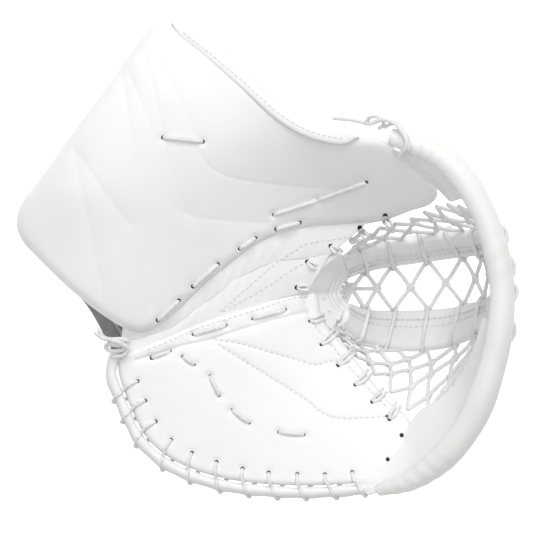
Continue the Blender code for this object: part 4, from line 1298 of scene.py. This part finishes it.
def make_palm_laces():
    level = surface_of("palm", palm_height)
    for name, holes, node in (
        ("palm_lacing", PALM_HOLES, "palm_lace"),
        ("strip_lacing", STRIP_HOLES, "strip_lace"),
    ):
        laced(name, [lace_run(a, b, level) for a, b in pairs(holes)], node, body="finger_side")
    runs = []
    edge = smooth(PALM_OUTLINE[7:17], 60)
    for x, y in POCKET_HOLES:
        rim = edge[np.argmin(np.linalg.norm(edge - (x, y), axis=1))]
        away = unit(rim - (x, y))
        over = (*(rim - away * 1.5), float(palm_height(*rim)) - 2.0)
        under = (*(rim + away * 3.0), float(palm_height(*rim)) - 12.0)
        runs += edge_tie((x, y), over, under, level)
    laced("pocket_edge_lacing", runs, "pocket_lace", body="finger_side")
    # Painted shade: dark marks in the palm's lace holes
    hole_shade_marks("palm_hole_shade", ALL_PALM_HOLES, level, "finger_side")


def make_palm_edge():
    radius = lace_radius() * 0.9
    edge = smooth(PERIMETER, 200)
    ahead = unit(np.gradient(edge, axis=0))
    out = np.stack([ahead[:, 1], -ahead[:, 0]], axis=1)
    if out[:, 1].mean() > 0:
        out = -out
    level = palm_height(edge[:, 0], edge[:, 1])
    pinch = 0.35 * np.cos(np.linspace(0, 2 * math.pi * len(PERIMETER_HOLES), len(edge)))
    for name, wide, away, down, node in WELTS:
        path = np.column_stack([edge + out * away, level - down])
        _, side, over = frames(path)
        rings = path[:, None] + around(side, over, 18) * (wide + pinch)[:, None, None]
        welt = make_piece(name, [roll(rings)], "palm_hide")
        finished(welt, "palm_leather", node, body="finger_side", fill=0.8)
    loops = []
    level_at = surface_of("palm", palm_height)
    for hole, following in zip(PERIMETER_HOLES, PERIMETER_HOLES[1:] + [None]):
        nearest = np.argmin(np.linalg.norm(edge - hole, axis=1))
        start = unit(edge[nearest] - hole) * 0.9 + hole
        between = start * 0.45 + edge[nearest] * 0.55
        points = [(*start, float(level_at(*start)) - 3), (*start, float(level_at(*start)) - 0.2),
                  (*between, float(level_at(*between)) + lace_radius() * 0.8)]
        for step, away, drop in EDGE_LACE_ROUTE:
            row = min(nearest + step, len(edge) - 1)
            points.append((*(edge[row] + out[row] * away), level[row] - drop))
        loops.append(cord(points, radius))
        if following:
            last, end = np.array(points[-1]), np.array((*following, level[row] - 15.0))
            loops.append(tube(smooth([last, (last + end) / 2 - (0, 0, 1.0), end], 14), radius))
    laced("edge_lacing", loops, "perimeter_lace", body="finger_side")


def make_gusset():
    middle = np.array(GUSSET_MIDDLE, float)
    overlap = (0, 0.8, 0)
    halves = (
        ("break_gusset_lower", np.array(GUSSET_PALM_SIDE, float), middle + overlap, ("finger_side", "pocket"),
         (-3, 10), ("break_gusset",)),
        ("break_gusset_upper", middle - overlap, np.array(GUSSET_BOARD_SIDE, float), ("pocket", "thumb_side"),
         (2, 24), ()),
    )

    def folds(u, s):
        return 0.22 * np.sin(u * 31 + s * 3) + 0.1 * np.sin(u * 90 + s)

    def below(x, y):
        return np.zeros(np.shape(x))

    for name, a, b, bodies, span, nodes in halves:
        piece = make_piece(name, [slab(a, b, 2.6, 110, 22, 0.5, folds)], "board_hide")
        width = np.linalg.norm(smooth(a, 50) - smooth(b, 50), axis=1).mean()
        finished(piece, "board_leather", *nodes, sheet=flat_cut(length_of(a), width, piece, "stretched"))
        across_crease(piece, *bodies, *span)
    rows = {name: [] for name, *_ in halves}
    levels = [surface_of(name, below) for name in rows]
    size = sizes()
    for line in GUSSET_SEAMS:
        plan = evened(line, size["stitch_step"])
        heights = np.stack([level(plan[:, 0], plan[:, 1]) for level in levels])
        path = np.column_stack([plan, heights.max(axis=0) + 0.15])
        for k in range(len(path) - 1):
            if heights[:, k : k + 2].max(axis=0).min() > 0:
                half = "break_gusset_lower" if heights[0, k] >= heights[1, k] else "break_gusset_upper"
                middles, ahead = [(path[k] + path[k + 1]) / 2], path[k + 1] - path[k]
                rows[half] += capsules(middles, ahead, size["stitch"], STITCH_RADIUS)
    for name, _, _, bodies, span, _ in halves:
        across_crease(stitched(name + "_stitching", rows[name], "board_leather"), *bodies, *span)


def gusset_level(x, y):
    """The upper side of the break gusset."""
    lower = surface_of("break_gusset_lower", lambda x, y: np.full(np.shape(x), 80.0))
    upper = surface_of("break_gusset_upper", lower)
    return np.maximum(lower(x, y), upper(x, y))


def make_thumb_edge_laces():
    """Ties from the board's and gusset's pocket edge to the net."""
    board = surface_of("cuff_board", gusset_level)
    runs = []
    for hole, tie in zip(THUMB_EDGE_HOLES, THUMB_EDGE_TIES):
        over = np.array(hole) * 0.45 + np.array(tie[:2]) * 0.55
        runs += edge_tie(hole, (*over, float(board(*hole)) - 1.0), tie, board)
    across_crease(laced("thumb_edge_lacing", runs), "pocket", "thumb_side", 16, 40)
    # Painted shade: dark marks in the thumb edge's lace holes
    across_crease(hole_shade_marks("thumb_edge_hole_shade", THUMB_EDGE_HOLES, board), "pocket", "thumb_side", 16, 40)


def rim_spine():
    """The rim's path and its radius at each of 361 points."""
    path = smooth([(*p, r) for p, r in zip(RIM_PATH, RIM_RADIUS)], RIM_POINTS + 1)
    return path[:, :3], path[:, 3]


def make_rim():
    spine, radii = rim_spine()
    _, side, over = frames(spine)
    turns = np.arange(32) * math.pi / 16
    along = np.linspace(0, 1, len(spine))[:, None]
    wide = radii[:, None] + 0.25 * np.sin(along * 40 + 0.8 * np.sin(turns)[None])
    for depth, rate, wave, lobes, turn, middle, spread in RIM_WRINKLES:
        phase = along * rate + wave * np.sin(turns * lobes + turn)[None]
        wide = wide + depth * np.sin(phase) * bump(along, middle, spread)
    wide = wide - 0.9 * bump((turns - RIM_SEAM_TURN + math.pi) % (2 * math.pi) - math.pi, 0, 0.10)[None]
    rings = spine[:, None] + around(side, over, 32) * wide[..., None]
    first, second = (int(round(share * RIM_POINTS)) for share in RIM_SPLITS)
    for name, start, end, node in (
        ("rim_roll_thumb", 0, first, "rim_thumb"),
        ("rim_roll_centre", first, second, "rim_centre"),
        ("rim_roll_finger", second, RIM_POINTS, "rim_finger"),
    ):
        span = list(rings[start : end + 1])
        for place, row in ((0, start), (len(span) + 1, end)):
            if row in (first, second):
                away = spine[row + (RIM_OVERLAP if place else -RIM_OVERLAP)] - spine[row]
                span.insert(place, spine[row] + (rings[row] - spine[row]) * 0.95 + away)
        piece = make_piece(name, [roll(span)], "rim_hide")
        finished(piece, "rim_leather", node, body="pocket" if node == "rim_centre" else None, fill=0.8)
        if node == "rim_thumb":
            bend_between(piece, "pocket", "thumb_side", *THUMB_TURN)
        if node == "rim_finger":
            bend_between(piece, "pocket", "finger_side", *FINGER_TURN)


def make_rim_lace():
    spine, radii = rim_spine()
    radius = lace_radius()
    shapes = []
    for start, end in RIM_LACE_SPANS:
        points = []
        for row, lift in zip(np.linspace(start, end, len(RIM_LACE_LIFTS)), RIM_LACE_LIFTS):
            k = int(row * RIM_POINTS)
            out = unit(np.cross(spine[k + 1] - spine[k], [0, 0, 1.0]))
            out = out if out[0] > 0 else -out
            points.append(spine[k] + (out * 0.97 + np.array([0, 0, -0.25])) * (radii[k] + lift))
        shapes.append(cord(points, radius))
    laced("rim_lace_loops", shapes, "rim_lace", body="pocket")
    shapes = [cord(route, radius) for route in (THUMB_TIP_LACE, THUMB_TIP_LOOP, THUMB_TIP_TAIL)]
    laced("thumb_tip_tie", shapes, "thumb_tip_lace", body="thumb_side")


def make_flaps():
    inner = np.array(THUMB_FLAP_INNER, float) - 2.0

    def folds(u, s):
        line = 0.9 * bump(s, 0.35 + 0.3 * u, 0.07) + 0.7 * bump(s, 0.7 + 0.1 * u, 0.06)
        return 0.3 * np.sin(9 * s + 3 * u) - line

    piece = make_piece("thumb_sleeve", [slab(inner, THUMB_FLAP_OUTER, 3.0, 60, 24, 1.5, folds)], "rim_hide")
    finished(piece, "rim_leather", "thumb_flap", sheet=flat_cut(62.0, 15.0, piece, "stretched"))
    bend_between(piece, "pocket", "thumb_side", *THUMB_TURN)

    def cover(u, s):
        band = bump(s, 0.46, 0.025) / (1 + np.exp((u - 0.46) * 40))
        dents = bump(s, 0.33, 0.05) * np.clip(np.sin(u * 110), 0, 1) / (1 + np.exp((u - 0.4) * 40))
        return 0.35 * np.sin(u * 23 + 2 * s) * np.sin(math.pi * s) - 1.3 * band - 0.8 * dents

    shape = slab(FINGER_COVER_INNER, FINGER_COVER_OUTER, 3.0, 200, 60, 2.0, cover)
    piece = make_piece("finger_cover_leather", [shape], "palm_hide")
    finished(piece, "palm_leather", "finger_cover", sheet=flat_cut(186.0, 26.0, piece, "stretched"))
    bend_between(piece, "pocket", "finger_side", *FINGER_TURN)


def bar_frame(inner, outer, share):
    """Points and directions of a bar at a share of its length: both edges, along, and out of its face."""
    a, b = smooth(inner, EDGE_POINTS), smooth(outer, EDGE_POINTS)
    k = int(np.clip(share * (EDGE_POINTS - 1), 1, EDGE_POINTS - 2))
    along = unit((a[k + 1] + b[k + 1]) - (a[k - 1] + b[k - 1]))
    out = unit(np.cross(along, b[k] - a[k]))
    return a[k], b[k], along, out


def rounded(values, power):
    """Sines or cosines drawn out towards their ends, which turns a circle into a rounded box."""
    return np.sign(values) * np.abs(values) ** power


def bar_loop(inner, outer, share, thick, radius, lean=0.0):
    """A lace round a bar, which stays above the ground."""
    a, b, along, out = bar_frame(inner, outer, share)
    turns = np.linspace(0, 2 * math.pi, 41)
    x = rounded(np.cos(turns), 0.45) * (np.linalg.norm(b - a) / 2 + radius * 0.9)
    y = rounded(np.sin(turns), 0.45) * (thick / 2 + radius * 0.9)
    path = (a + b) / 2 + x[:, None] * unit(b - a) + y[:, None] * out + (np.cos(turns) * lean)[:, None] * along
    path[:, 2] = np.maximum(path[:, 2], radius)
    return tube(path, radius, 8, ends=False)


def make_bars():
    thick = sizes()["bar"]

    def channels(u, s):
        seams = 1.2 * bump(s, 0.30, 0.030) + 0.9 * bump(s, 0.42, 0.024)
        puff = 1.0 * np.sin(math.pi * np.clip((s - 0.42) / 0.58, 0, 1))
        return puff - seams + 0.18 * np.sin(u * 75 + 4 * s)

    for name, inner, outer, node in (
        ("upper_bar", UPPER_BAR_INNER, UPPER_BAR_OUTER, "t_bar_upper"),
        ("lower_bar", LOWER_BAR_INNER, LOWER_BAR_OUTER, "t_bar_lower"),
    ):
        piece = make_piece(name, [slab(inner, outer, thick, 190, 40, 0.0, channels, channels)], "pocket_hide")
        finished(piece, "pocket_leather", node, body="pocket", fill=0.7)
        rows = []
        for share in (0.27, 0.45):
            for face in (1, -1):
                route = []
                for k in np.linspace(0.01, 0.96, 60):
                    a, b, _, out = bar_frame(inner, outer, k)
                    route.append(a + (b - a) * share + out * face * (thick / 2 + 0.1))
                rows += stitch_row(route)
        stitched(name + "_stitching", rows, "pocket_leather", "pocket")

    def wall_channels(u, s):
        return 0.3 * np.sin(u * 17 + 3 * s) - 0.9 * sum(bump(s, share, 0.02) for share in (0.62, 0.72, 0.86))

    shape = slab(WALL_TOP, WALL_FOOT, 5.0, 90, 60, 0.0, wall_channels)
    wall = make_piece("pocket_wall", [shape], "pocket_hide")
    finished(wall, "pocket_leather", "t_base", body="pocket", fill=0.6)


def strand(start, end, radius, bow, draw):
    """One strand of a net, pulled almost straight."""
    middle = (start + end) / 2 + draw.normal(0, bow, 3)
    return tube(smooth([start, middle, end], 9), radius, 8, ends=False)


def make_net(name, edges, counts, span, sag, nodes=(), loops=(), ties=()):
    """A knotted net of diamonds between two edges, over a span of their length. counts are its columns and
    rows. loops go round bars, each given as the bar's two edges and the row of knots at it. ties run from the
    pocket's wall to a first knot, which the net starts from."""
    size = sizes()
    radius = size["lace"] / 2 * 0.95
    columns, rows = counts
    draw = np.random.default_rng(SEED + columns)
    a, b = (smooth(edge, EDGE_POINTS) for edge in edges)
    low, high = span

    def share_at(i, j):
        return low + (high - low) * (i + 0.5 * (j % 2)) / columns

    knots = {}
    for j in range(rows + 1):
        for i in range(columns + 1):
            share = share_at(i, j)
            if share > high + 1e-6:
                continue
            k = int(np.clip(share, 0, 1) * (EDGE_POINTS - 1))
            down = np.array([0, 0, sag * math.sin(math.pi * (j / rows))])
            spot = a[k] + (b[k] - a[k]) * (j / rows) - down
            knots[i, j] = spot + draw.normal(0, KNOT_STRAY, 3) * (0 < j < rows)
    shapes = []
    for (i, j), spot in knots.items():
        for step in ((0, -1) if j % 2 == 0 else (0, 1)):
            beyond = knots.get((i + step, j + 1))
            if beyond is not None:
                shapes.append(strand(spot, beyond, radius, 0.5, draw))
        if 0 < j < rows:
            k = int(np.clip(share_at(i, j), 0, 1) * (EDGE_POINTS - 3))
            shapes.append(knot(spot, a[k + 2] - a[k], b[k] - a[k], size["knot"], radius * 0.95))
    if ties:
        first = np.array(FIRST_KNOT, float)
        shapes.append(knot(first, a[30] - a[0], b[20] - a[20], size["knot"] * 1.3, radius))
        shapes += [strand(np.array(tie, float), first, radius, 0.6, draw) for tie in ties]
        shapes += [strand(first, knots[0, j], radius, 0.3, draw) for j in (1, 0, 2)]
    for inner, outer, row in loops:
        for i, j in knots:
            if j == row:
                lean = draw.uniform(-3, 3)
                shapes.append(bar_loop(inner, outer, share_at(i, j), size["bar"], radius, lean))
    return laced(name, shapes, *nodes)


def make_nets():
    upper, lower = (UPPER_BAR_INNER, UPPER_BAR_OUTER), (LOWER_BAR_INNER, LOWER_BAR_OUTER)
    centre = make_net("net_centre_lacing", (upper[0], lower[0]), (8, 2), (0.1, 0.98), 2.0, ["net_centre"],
                      [(*upper, 0), (*lower, 2)], WALL_TIES)
    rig.ride(centre, "pocket")
    thumb = make_net("net_thumb_lacing", (upper[1], THUMB_NET_EDGE), (9, 3), (0.06, 1.0), 1.0, ["net_thumb"])
    across_crease(thumb, "pocket", "thumb_side", 16, 36)
    edges = (lower[1], FINGER_NET_EDGE)
    floor = make_net("net_finger_floor", edges, (6, 4), (0.0, 0.52), 4.0, ["net_finger"])
    wall = make_net("net_finger_wall", edges, (6, 4), (0.52, 1.0), 0.0)
    bend_between(floor, "pocket", "finger_side", NET_FLOOR_SLOPE * 30, NET_FLOOR_SLOPE * 75)
    bend_between(wall, "pocket", "finger_side", (172, -60, 100), (135, -110, 100))


def make_backhand():
    reach = smooth(BACKHAND_OUTLINE, 120, closed=True) - BACKHAND_CENTRE
    edge = reach + BACKHAND_CENTRE
    rim = palm_height(edge[:, 0], edge[:, 1]) - sizes()["palm"] - 5.0

    def ring(share, level):
        return np.column_stack([BACKHAND_CENTRE + reach * share, level])

    rings = [ring(share, rim * level) for share, level in reversed(BACKHAND_PROFILE)]
    inside = [(0.97, 0.99), (0.93, 0.97)]
    inside += [(share * 0.9, level) for share, level in BACKHAND_PROFILE if level < 0.97]
    rings += [ring(share, np.maximum(rim * level, BACKHAND_WALL)) for share, level in inside]
    piece = make_piece("backhand_padding", [roll(rings)], "board_hide")
    swollen(piece, np.where(spots_of(piece)[:, 2] < 0.5, 1.0, 0.55), 2.0, PADDING_SWELL)
    subdivided(piece, 1)
    spots = spots_of(piece)
    spots[:, 2] = np.maximum(spots[:, 2], 0.0)
    away = spots[:, :2] - BACKHAND_CENTRE
    turns = np.arctan2(reach[:, 1], reach[:, 0])
    order = np.argsort(turns)
    bearing = np.arctan2(away[:, 1], away[:, 0])
    limit = np.interp(bearing, turns[order], np.linalg.norm(reach, axis=1)[order])
    share = spots[:, 2] / np.maximum(np.interp(bearing, turns[order], rim[order]), 1)
    channels = -1.6 * (bump(share, 0.33, 0.03) + bump(share, 0.66, 0.03))
    shell = np.linalg.norm(away, axis=1) > limit * 0.93
    spots[:, :2] += unit(away) * (channels * shell)[:, None]
    set_spots(piece, spots)
    finished(piece, "board_leather", "backhand_cover", body="finger_side", fill=0.6)


def make_linings():
    size = sizes()
    middle = np.array(BACKHAND_CENTRE, float)

    def smaller(share):
        return [tuple(middle + (np.array(p) - middle) * share) for p in BACKHAND_OUTLINE]

    def quilt(x, y):
        return 13.6 + 0.5 * np.sin(np.asarray(x) / 6.0) * np.sin(np.asarray(y) / 6.0)

    def quilted_board(x, y):
        x, y = np.asarray(x), np.asarray(y)
        return board_height(x, y) + 0.45 * np.sin((x + y) / 7) * np.sin((x - y) / 7)

    palm_drop, cuff_drop = size["palm"] + LINING_GAP, size["board"] + LINING_GAP
    palm = panel(smaller(0.76), BACKHAND_CENTRE, palm_height, palm_drop, 3.0, (90, 12, 1.5))
    back = panel(smaller(0.66), BACKHAND_CENTRE, quilt, 0, 4.0, (90, 14, 1.5))
    cuff = panel(CUFF_LINING, CUFF_LINING_CENTRE, quilted_board, cuff_drop, 4.0, (120, 24, 2.0), 24)
    for name, shape, node, body, fill in (
        ("palm_lining", palm, "palm_liner", "finger_side", 0.4),
        ("backhand_lining", back, "backhand_foam", "finger_side", 0.5),
        ("cuff_lining", cuff, "cuff_liner", "thumb_side", 0.4),
    ):
        finished(make_piece(name, [shape], "knit_liner"), "liner", node, body=body, fill=fill)
    for k in (1, 2, 3):
        low, high = (np.array(corner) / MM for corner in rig.box(f"finger_wall_{k}"))
        y = (low[1] + high[1]) / 2
        edges = [[np.array([x, y, z]) + LAYOUT_ORIGIN for x in (low[0], high[0])] for z in (low[2], high[2])]
        wall = make_piece(f"finger_divider_{k}", [slab(*edges, 2.0, 30, 20, 0.4)], "knit_liner")
        cut = flat_cut(high[0] - low[0], high[2] - low[2], wall, "stretched")
        finished(wall, "liner", f"finger_wall_{k}", body="finger_side", sheet=cut)


def wrist_point(across, forward, z):
    """A point of the wrist closure: across the forearm, along it towards the hand, and up."""
    x = WRIST_CENTRE[0] + across * math.cos(WRIST_TURN) + forward * math.sin(WRIST_TURN)
    y = WRIST_CENTRE[1] + across * math.sin(WRIST_TURN) - forward * math.cos(WRIST_TURN)
    return (x, y, z)


def webbing(name, edges, thick, fineness, depth, rate, node, body, length, width, held):
    """A woven strap between two edges, ribbed along its length."""

    def ribs(u, s):
        return depth * np.sin(s * rate)

    piece = make_piece(name, [slab(*edges, thick, *fineness, 0.0, ribs, ribs)], "strap_webbing")
    sheet = flat_cut(length, width, piece, held)
    finished(piece, "strap", node, body=body, sheet=sheet)


def make_wrist():
    for name, route, shift, rows, node, body in (
        ("wrist_strap_webbing", STRAP_LOOP, (0.0, 1.5), 120, "wrist_strap", "thumb_side"),
        ("ring_keeper_webbing", KEEPER_ROUTE, (-1.0, 0.0), 40, "ring_keeper", "thumb_side"),
        ("strap_tab_webbing", TAB_ROUTE, (-1.2, 0.0), 40, "wrist_strap_tab", "strap_tab"),
    ):
        line = smooth(np.array(route, float) + shift, rows)
        edges = [[wrist_point(u, side * STRAP_WIDTH / 2, z) for u, z in line] for side in (-1, 1)]
        webbing(name, edges, sizes()["webbing"], (rows, 36), 0.18, STRAP_WIDTH * 2.2, node, body,
                length_of(line), STRAP_WIDTH, "folded")
    u, z = STRAP_LOOP[-1]
    turns = np.linspace(0, 2 * math.pi, 33)
    along, tall = rounded(np.cos(turns), 0.35) * 21.0, rounded(np.sin(turns), 0.6) * 4.5
    corners = [wrist_point(u - 1.0 + up * 0.55, out, z + 4 + up * 0.8) for out, up in zip(along, tall)]
    ring = make_piece("strap_ring_moulded", [tube(corners, 1.5, 12, ends=False)], "buckle_plastic")
    finished(ring, "buckle", "strap_ring", body="thumb_side")
    outline = [wrist_point(u, v, 0)[:2] for u, v in WRIST_PAD]

    def cushion(x, y):
        return np.full(np.shape(x), WRIST_PAD_TOP - 1.0)

    shape = panel(outline, WRIST_CENTRE, cushion, 0, 9.0, (60, 10, 4.0))
    pad = make_piece("wrist_padding", [shape], "knit_liner")
    spots = spots_of(pad)
    edge = bump(flat_distance(spots[:, 0], spots[:, 1], outline + outline[:1]), 0, 6)
    swollen(pad, np.clip(edge, 0.1, 1), PRESSURE, PADDING_SWELL)
    subdivided(pad, 2)
    spots = spots_of(pad)
    away = spots[:, :2] - WRIST_CENTRE
    across = away[:, 0] * math.cos(WRIST_TURN) + away[:, 1] * math.sin(WRIST_TURN)
    side = np.sign(spots[:, 2] - (WRIST_PAD_TOP - 5.5))
    for channel in (-20.0, 0.0, 20.0):
        spots[:, 2] -= side * 1.6 * bump(across, channel, 2.2)
    set_spots(pad, spots)
    finished(pad, "liner", "wrist_pad", body="thumb_side", fill=0.7)


def make_hand_strap():
    path = smooth(HAND_STRAP, 90)
    wide = HAND_STRAP_ACROSS * HAND_STRAP_WIDTH / 2
    webbing("hand_strap_webbing", (path - wide, path + wide), 2.4, (90, 28), 0.15, 50, "hand_strap",
            "finger_side", length_of(path), HAND_STRAP_WIDTH, "stretched")


def make_thumb_stall():
    path = smooth(THUMB_STALL_PATH, 40)
    _, side, over = frames(path)
    ways = np.arange(40) * math.pi / 20

    def oval(k, wide, tall, turns):
        return np.cos(turns)[:, None] * side[k] * wide + np.sin(turns)[:, None] * over[k] * tall

    wide, tall = THUMB_STALL_RADII
    rings = []
    for inset, rows in ((0, range(40)), (STALL_WALL, range(37, -1, -1))):
        for k in rows:
            shrink = 1.0 if k < 36 else 1 - ((k - 35) / 5) ** 2 * 0.5
            pleat = 0.3 * math.sin(k * 1.3) - inset
            rings.append(path[k] + oval(k, wide + pleat, tall + pleat, ways) * shrink)
    stall = make_piece("thumb_stall_knit", [roll(rings[39::-1] + rings[:39:-1])], "knit_liner")
    finished(stall, "liner", "thumb_stall", body="thumb_side", fill=0.3)
    wide, tall = wide + STALL_GAP, tall + STALL_GAP
    arc = np.radians(np.linspace(183, 357, 40))
    rows = []
    for k in range(40):
        plump = 0.75 + 0.25 * math.sin(min(min(k, 39 - k) / 5, 1) * math.pi / 2)
        plump *= 1.0 - 0.05 * bump(k % 10, 5, 0.9)
        out_wide, out_tall = (THUMB_PAD_RADII[0] - wide) * plump, (THUMB_PAD_RADII[1] - tall) * plump
        outer = oval(k, wide + out_wide, tall + out_tall, arc)
        rows.append(path[k] + np.vstack([outer, oval(k, wide, tall, arc[::-1])]))
    pad = make_piece("thumb_back_padding", [roll(rows)], "board_hide")
    finished(pad, "board_leather", "thumb_back_pad", body="thumb_side", fill=0.7)


def make_heel():
    top, foot = np.array(HEEL_GUSSET_TOP, float) + (0, 0, 4), np.array(HEEL_GUSSET_FOOT, float)
    middle = (top + foot) / 2 + (3, 4, 0)

    def folds(u, s):
        return 0.5 * np.sin(u * 34) * np.sin(math.pi * s)

    for name, a, b, bodies, levels, nodes in (
        ("heel_gusset_lower", foot, middle, ("finger_side", "pocket"), (32, 55), ("heel_gusset",)),
        ("heel_gusset_upper", middle, top, ("pocket", "thumb_side"), (55, 76), ()),
    ):
        piece = make_piece(name, [slab(a, b, 2.6, 70, 24, 0.0, folds)], "knit_liner")
        width = np.linalg.norm(a - b, axis=1).mean()
        finished(piece, "liner", *nodes, sheet=flat_cut(length_of(a), width, piece, "gathered"))
        bend_between(piece, *bodies, *((-130, -50, level) for level in levels))
    shapes = [cord(route, lace_radius()) for route in (HEEL_LACE, HEEL_LOOP)]
    laced("heel_lacing", shapes, "heel_lace", body="finger_side")


# ---------------------------------------------------------------- stage

CAMERA_HEIGHT = 2.37
CAMERA_LENS = 200.0
CAMERA_SENSOR = 36.0
CAMERA_SHIFT = (0.4, -7.7)
# Lights, in metres: name, place, what it points at, its sides, and power in watts
LIGHTS = [
    ("key_light", (0.2, 2.2, 2.5), (0, 0, 0.08), (2.0, 1.4), 52.0),
    ("overhead_light", (-0.2, 0.1, 2.7), (0, 0, 0.0), (2.2, 2.2), 30.0),
]
WORLD_STRENGTH = 0.36
FLOOR_SIZE = 12.0
FLOOR_DEPTH = 0.0005
FLOOR_GLOW = (0.3, 0.9)  # as the glove sees it, and as the camera does
WHITE = (1, 1, 1, 1)


def area_light(name, spot, target, size, power):
    light = bpy.data.lights.new(name, "AREA")
    light.shape = "RECTANGLE"
    light.size, light.size_y = size
    light.energy = power
    lamp = bpy.data.objects.new(name, light)
    bpy.context.scene.collection.objects.link(lamp)
    lamp.location = spot
    lamp.rotation_euler = (Vector(target) - Vector(spot)).to_track_quat("-Z", "Y").to_euler()


def floor_finish():
    made = bpy.data.materials.new("floor_paper")
    made.use_nodes = True
    tree = made.node_tree
    shader = tree.nodes["Principled BSDF"].inputs
    rays = add_node(tree, "ShaderNodeLightPath", (-500, 0)).outputs["Is Camera Ray"]
    span = {"Value": rays, "To Min": FLOOR_GLOW[0], "To Max": FLOOR_GLOW[1]}
    glow = add_node(tree, "ShaderNodeMapRange", (-250, 0), span).outputs["Result"]
    for label, value in (
        ("Base Color", (*colour("floor"), 1)), ("Roughness", 0.9), ("Specular IOR Level", 0.1),
        ("Emission Color", WHITE), ("Emission Strength", glow),
    ):
        plug(tree, value, shader[label])
    return made


def make_stage():
    scene = bpy.context.scene
    deselect()
    bpy.ops.mesh.primitive_plane_add(size=FLOOR_SIZE, location=(0, 0, -FLOOR_DEPTH))
    floor = bpy.context.object
    floor.name = "studio_floor"
    bpy.ops.object.transform_apply(location=True, rotation=True, scale=True)
    floor.data.materials.append(floor_finish())
    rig.stage(floor)
    for light in LIGHTS:
        area_light(*light)
    world = bpy.data.worlds.new("studio")
    world.use_nodes = True
    sky = world.node_tree.nodes["Background"].inputs
    sky["Color"].default_value = WHITE
    sky["Strength"].default_value = WORLD_STRENGTH
    scene.world = world
    scene.view_settings.view_transform = "Standard"
    camera = bpy.data.cameras.new("front")
    camera.lens = CAMERA_LENS
    camera.sensor_width = CAMERA_SENSOR
    view = bpy.data.objects.new("front", camera)
    scene.collection.objects.link(view)
    spot = layout((*CAMERA_SHIFT, 0))
    view.location = (spot[0], spot[1], CAMERA_HEIGHT)
    view.rotation_euler = (0, 0, 0)
    scene.camera = view


# ---------------------------------------------------------------- operators


def operator(name, label, text, build):
    """An operator that builds one piece or group of like pieces."""

    def execute(self, context):
        build()
        return {"FINISHED"}

    return type(
        "GLOVE_OT_" + name, (bpy.types.Operator,),
        {"bl_idname": "glove." + name, "bl_label": label, "__doc__": text, "execute": execute},
    )


OPERATORS = [
    operator("stage", "Stage", "Floor, lights and camera", make_stage),
    operator("board", "Cuff board", "The padded cuff and thumb board", make_board),
    operator("side_band", "Edge band", "The board's stitched edge band", make_side_band),
    operator("board_laces", "Board laces", "Laces through the board", make_board_laces),
    operator("palm", "Palm", "The padded palm with its seams", make_palm),
    operator("palm_laces", "Palm laces", "Laces through the palm", make_palm_laces),
    operator("palm_edge", "Palm edge", "Welts and lacing of the palm's edge", make_palm_edge),
    operator("gusset", "Break gusset", "The soft strip between board and palm", make_gusset),
    operator("thumb_edge_laces", "Thumb edge laces", "Ties from the thumb to the net", make_thumb_edge_laces),
    operator("rim", "Rim", "The padded rim roll", make_rim),
    operator("rim_lace", "Rim laces", "Lace loops on the rim and the thumb tie", make_rim_lace),
    operator("flaps", "Flaps", "Thumb sleeve and finger cover", make_flaps),
    operator("bars", "Bars", "The pocket's padded double bars", make_bars),
    operator("nets", "Nets", "The knotted nets of the pocket", make_nets),
    operator("backhand", "Backhand", "The padded back of the hand", make_backhand),
    operator("linings", "Linings", "Knit linings and finger dividers", make_linings),
    operator("thumb_stall", "Thumb stall", "Knit thumb stall and its padding", make_thumb_stall),
    operator("wrist", "Wrist", "Wrist straps, ring and pad", make_wrist),
    operator("hand_strap", "Hand strap", "Strap over the hand", make_hand_strap),
    operator("heel", "Heel", "Heel gusset and its lacing", make_heel),
]


class GLOVE_PT_pieces(bpy.types.Panel):
    """Lists the glove's pieces."""

    bl_idname = "GLOVE_PT_pieces"
    bl_label = "Goalie catch glove"
    bl_space_type = "VIEW_3D"
    bl_region_type = "UI"
    bl_category = "Glove"

    def draw(self, context):
        for made in OPERATORS:
            self.layout.operator(made.bl_idname)
        scene = context.scene
        for group, kind in ((scene.glove_sizes, GloveSizes), (scene.glove_colours, GloveColours)):
            for name in kind.__annotations__:
                self.layout.prop(group, name)


CLASSES = [GloveSizes, GloveColours, *OPERATORS, GLOVE_PT_pieces]


def register():
    for made in CLASSES:
        bpy.utils.register_class(made)
    bpy.types.Scene.glove_sizes = bpy.props.PointerProperty(type=GloveSizes)
    bpy.types.Scene.glove_colours = bpy.props.PointerProperty(type=GloveColours)


def unregister():
    del bpy.types.Scene.glove_sizes
    del bpy.types.Scene.glove_colours
    for made in reversed(CLASSES):
        bpy.utils.unregister_class(made)


def main():
    register()
    for made in OPERATORS:
        getattr(bpy.ops.glove, made.bl_idname.split(".")[1])()
    with open(SIZE_FILE, "w") as out:
        boxes = {"cad": cad_box, "visual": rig.bounds()}
        json.dump({name: [list(corner) for corner in box] for name, box in boxes.items()}, out)


if __name__ == "__main__":
    main()
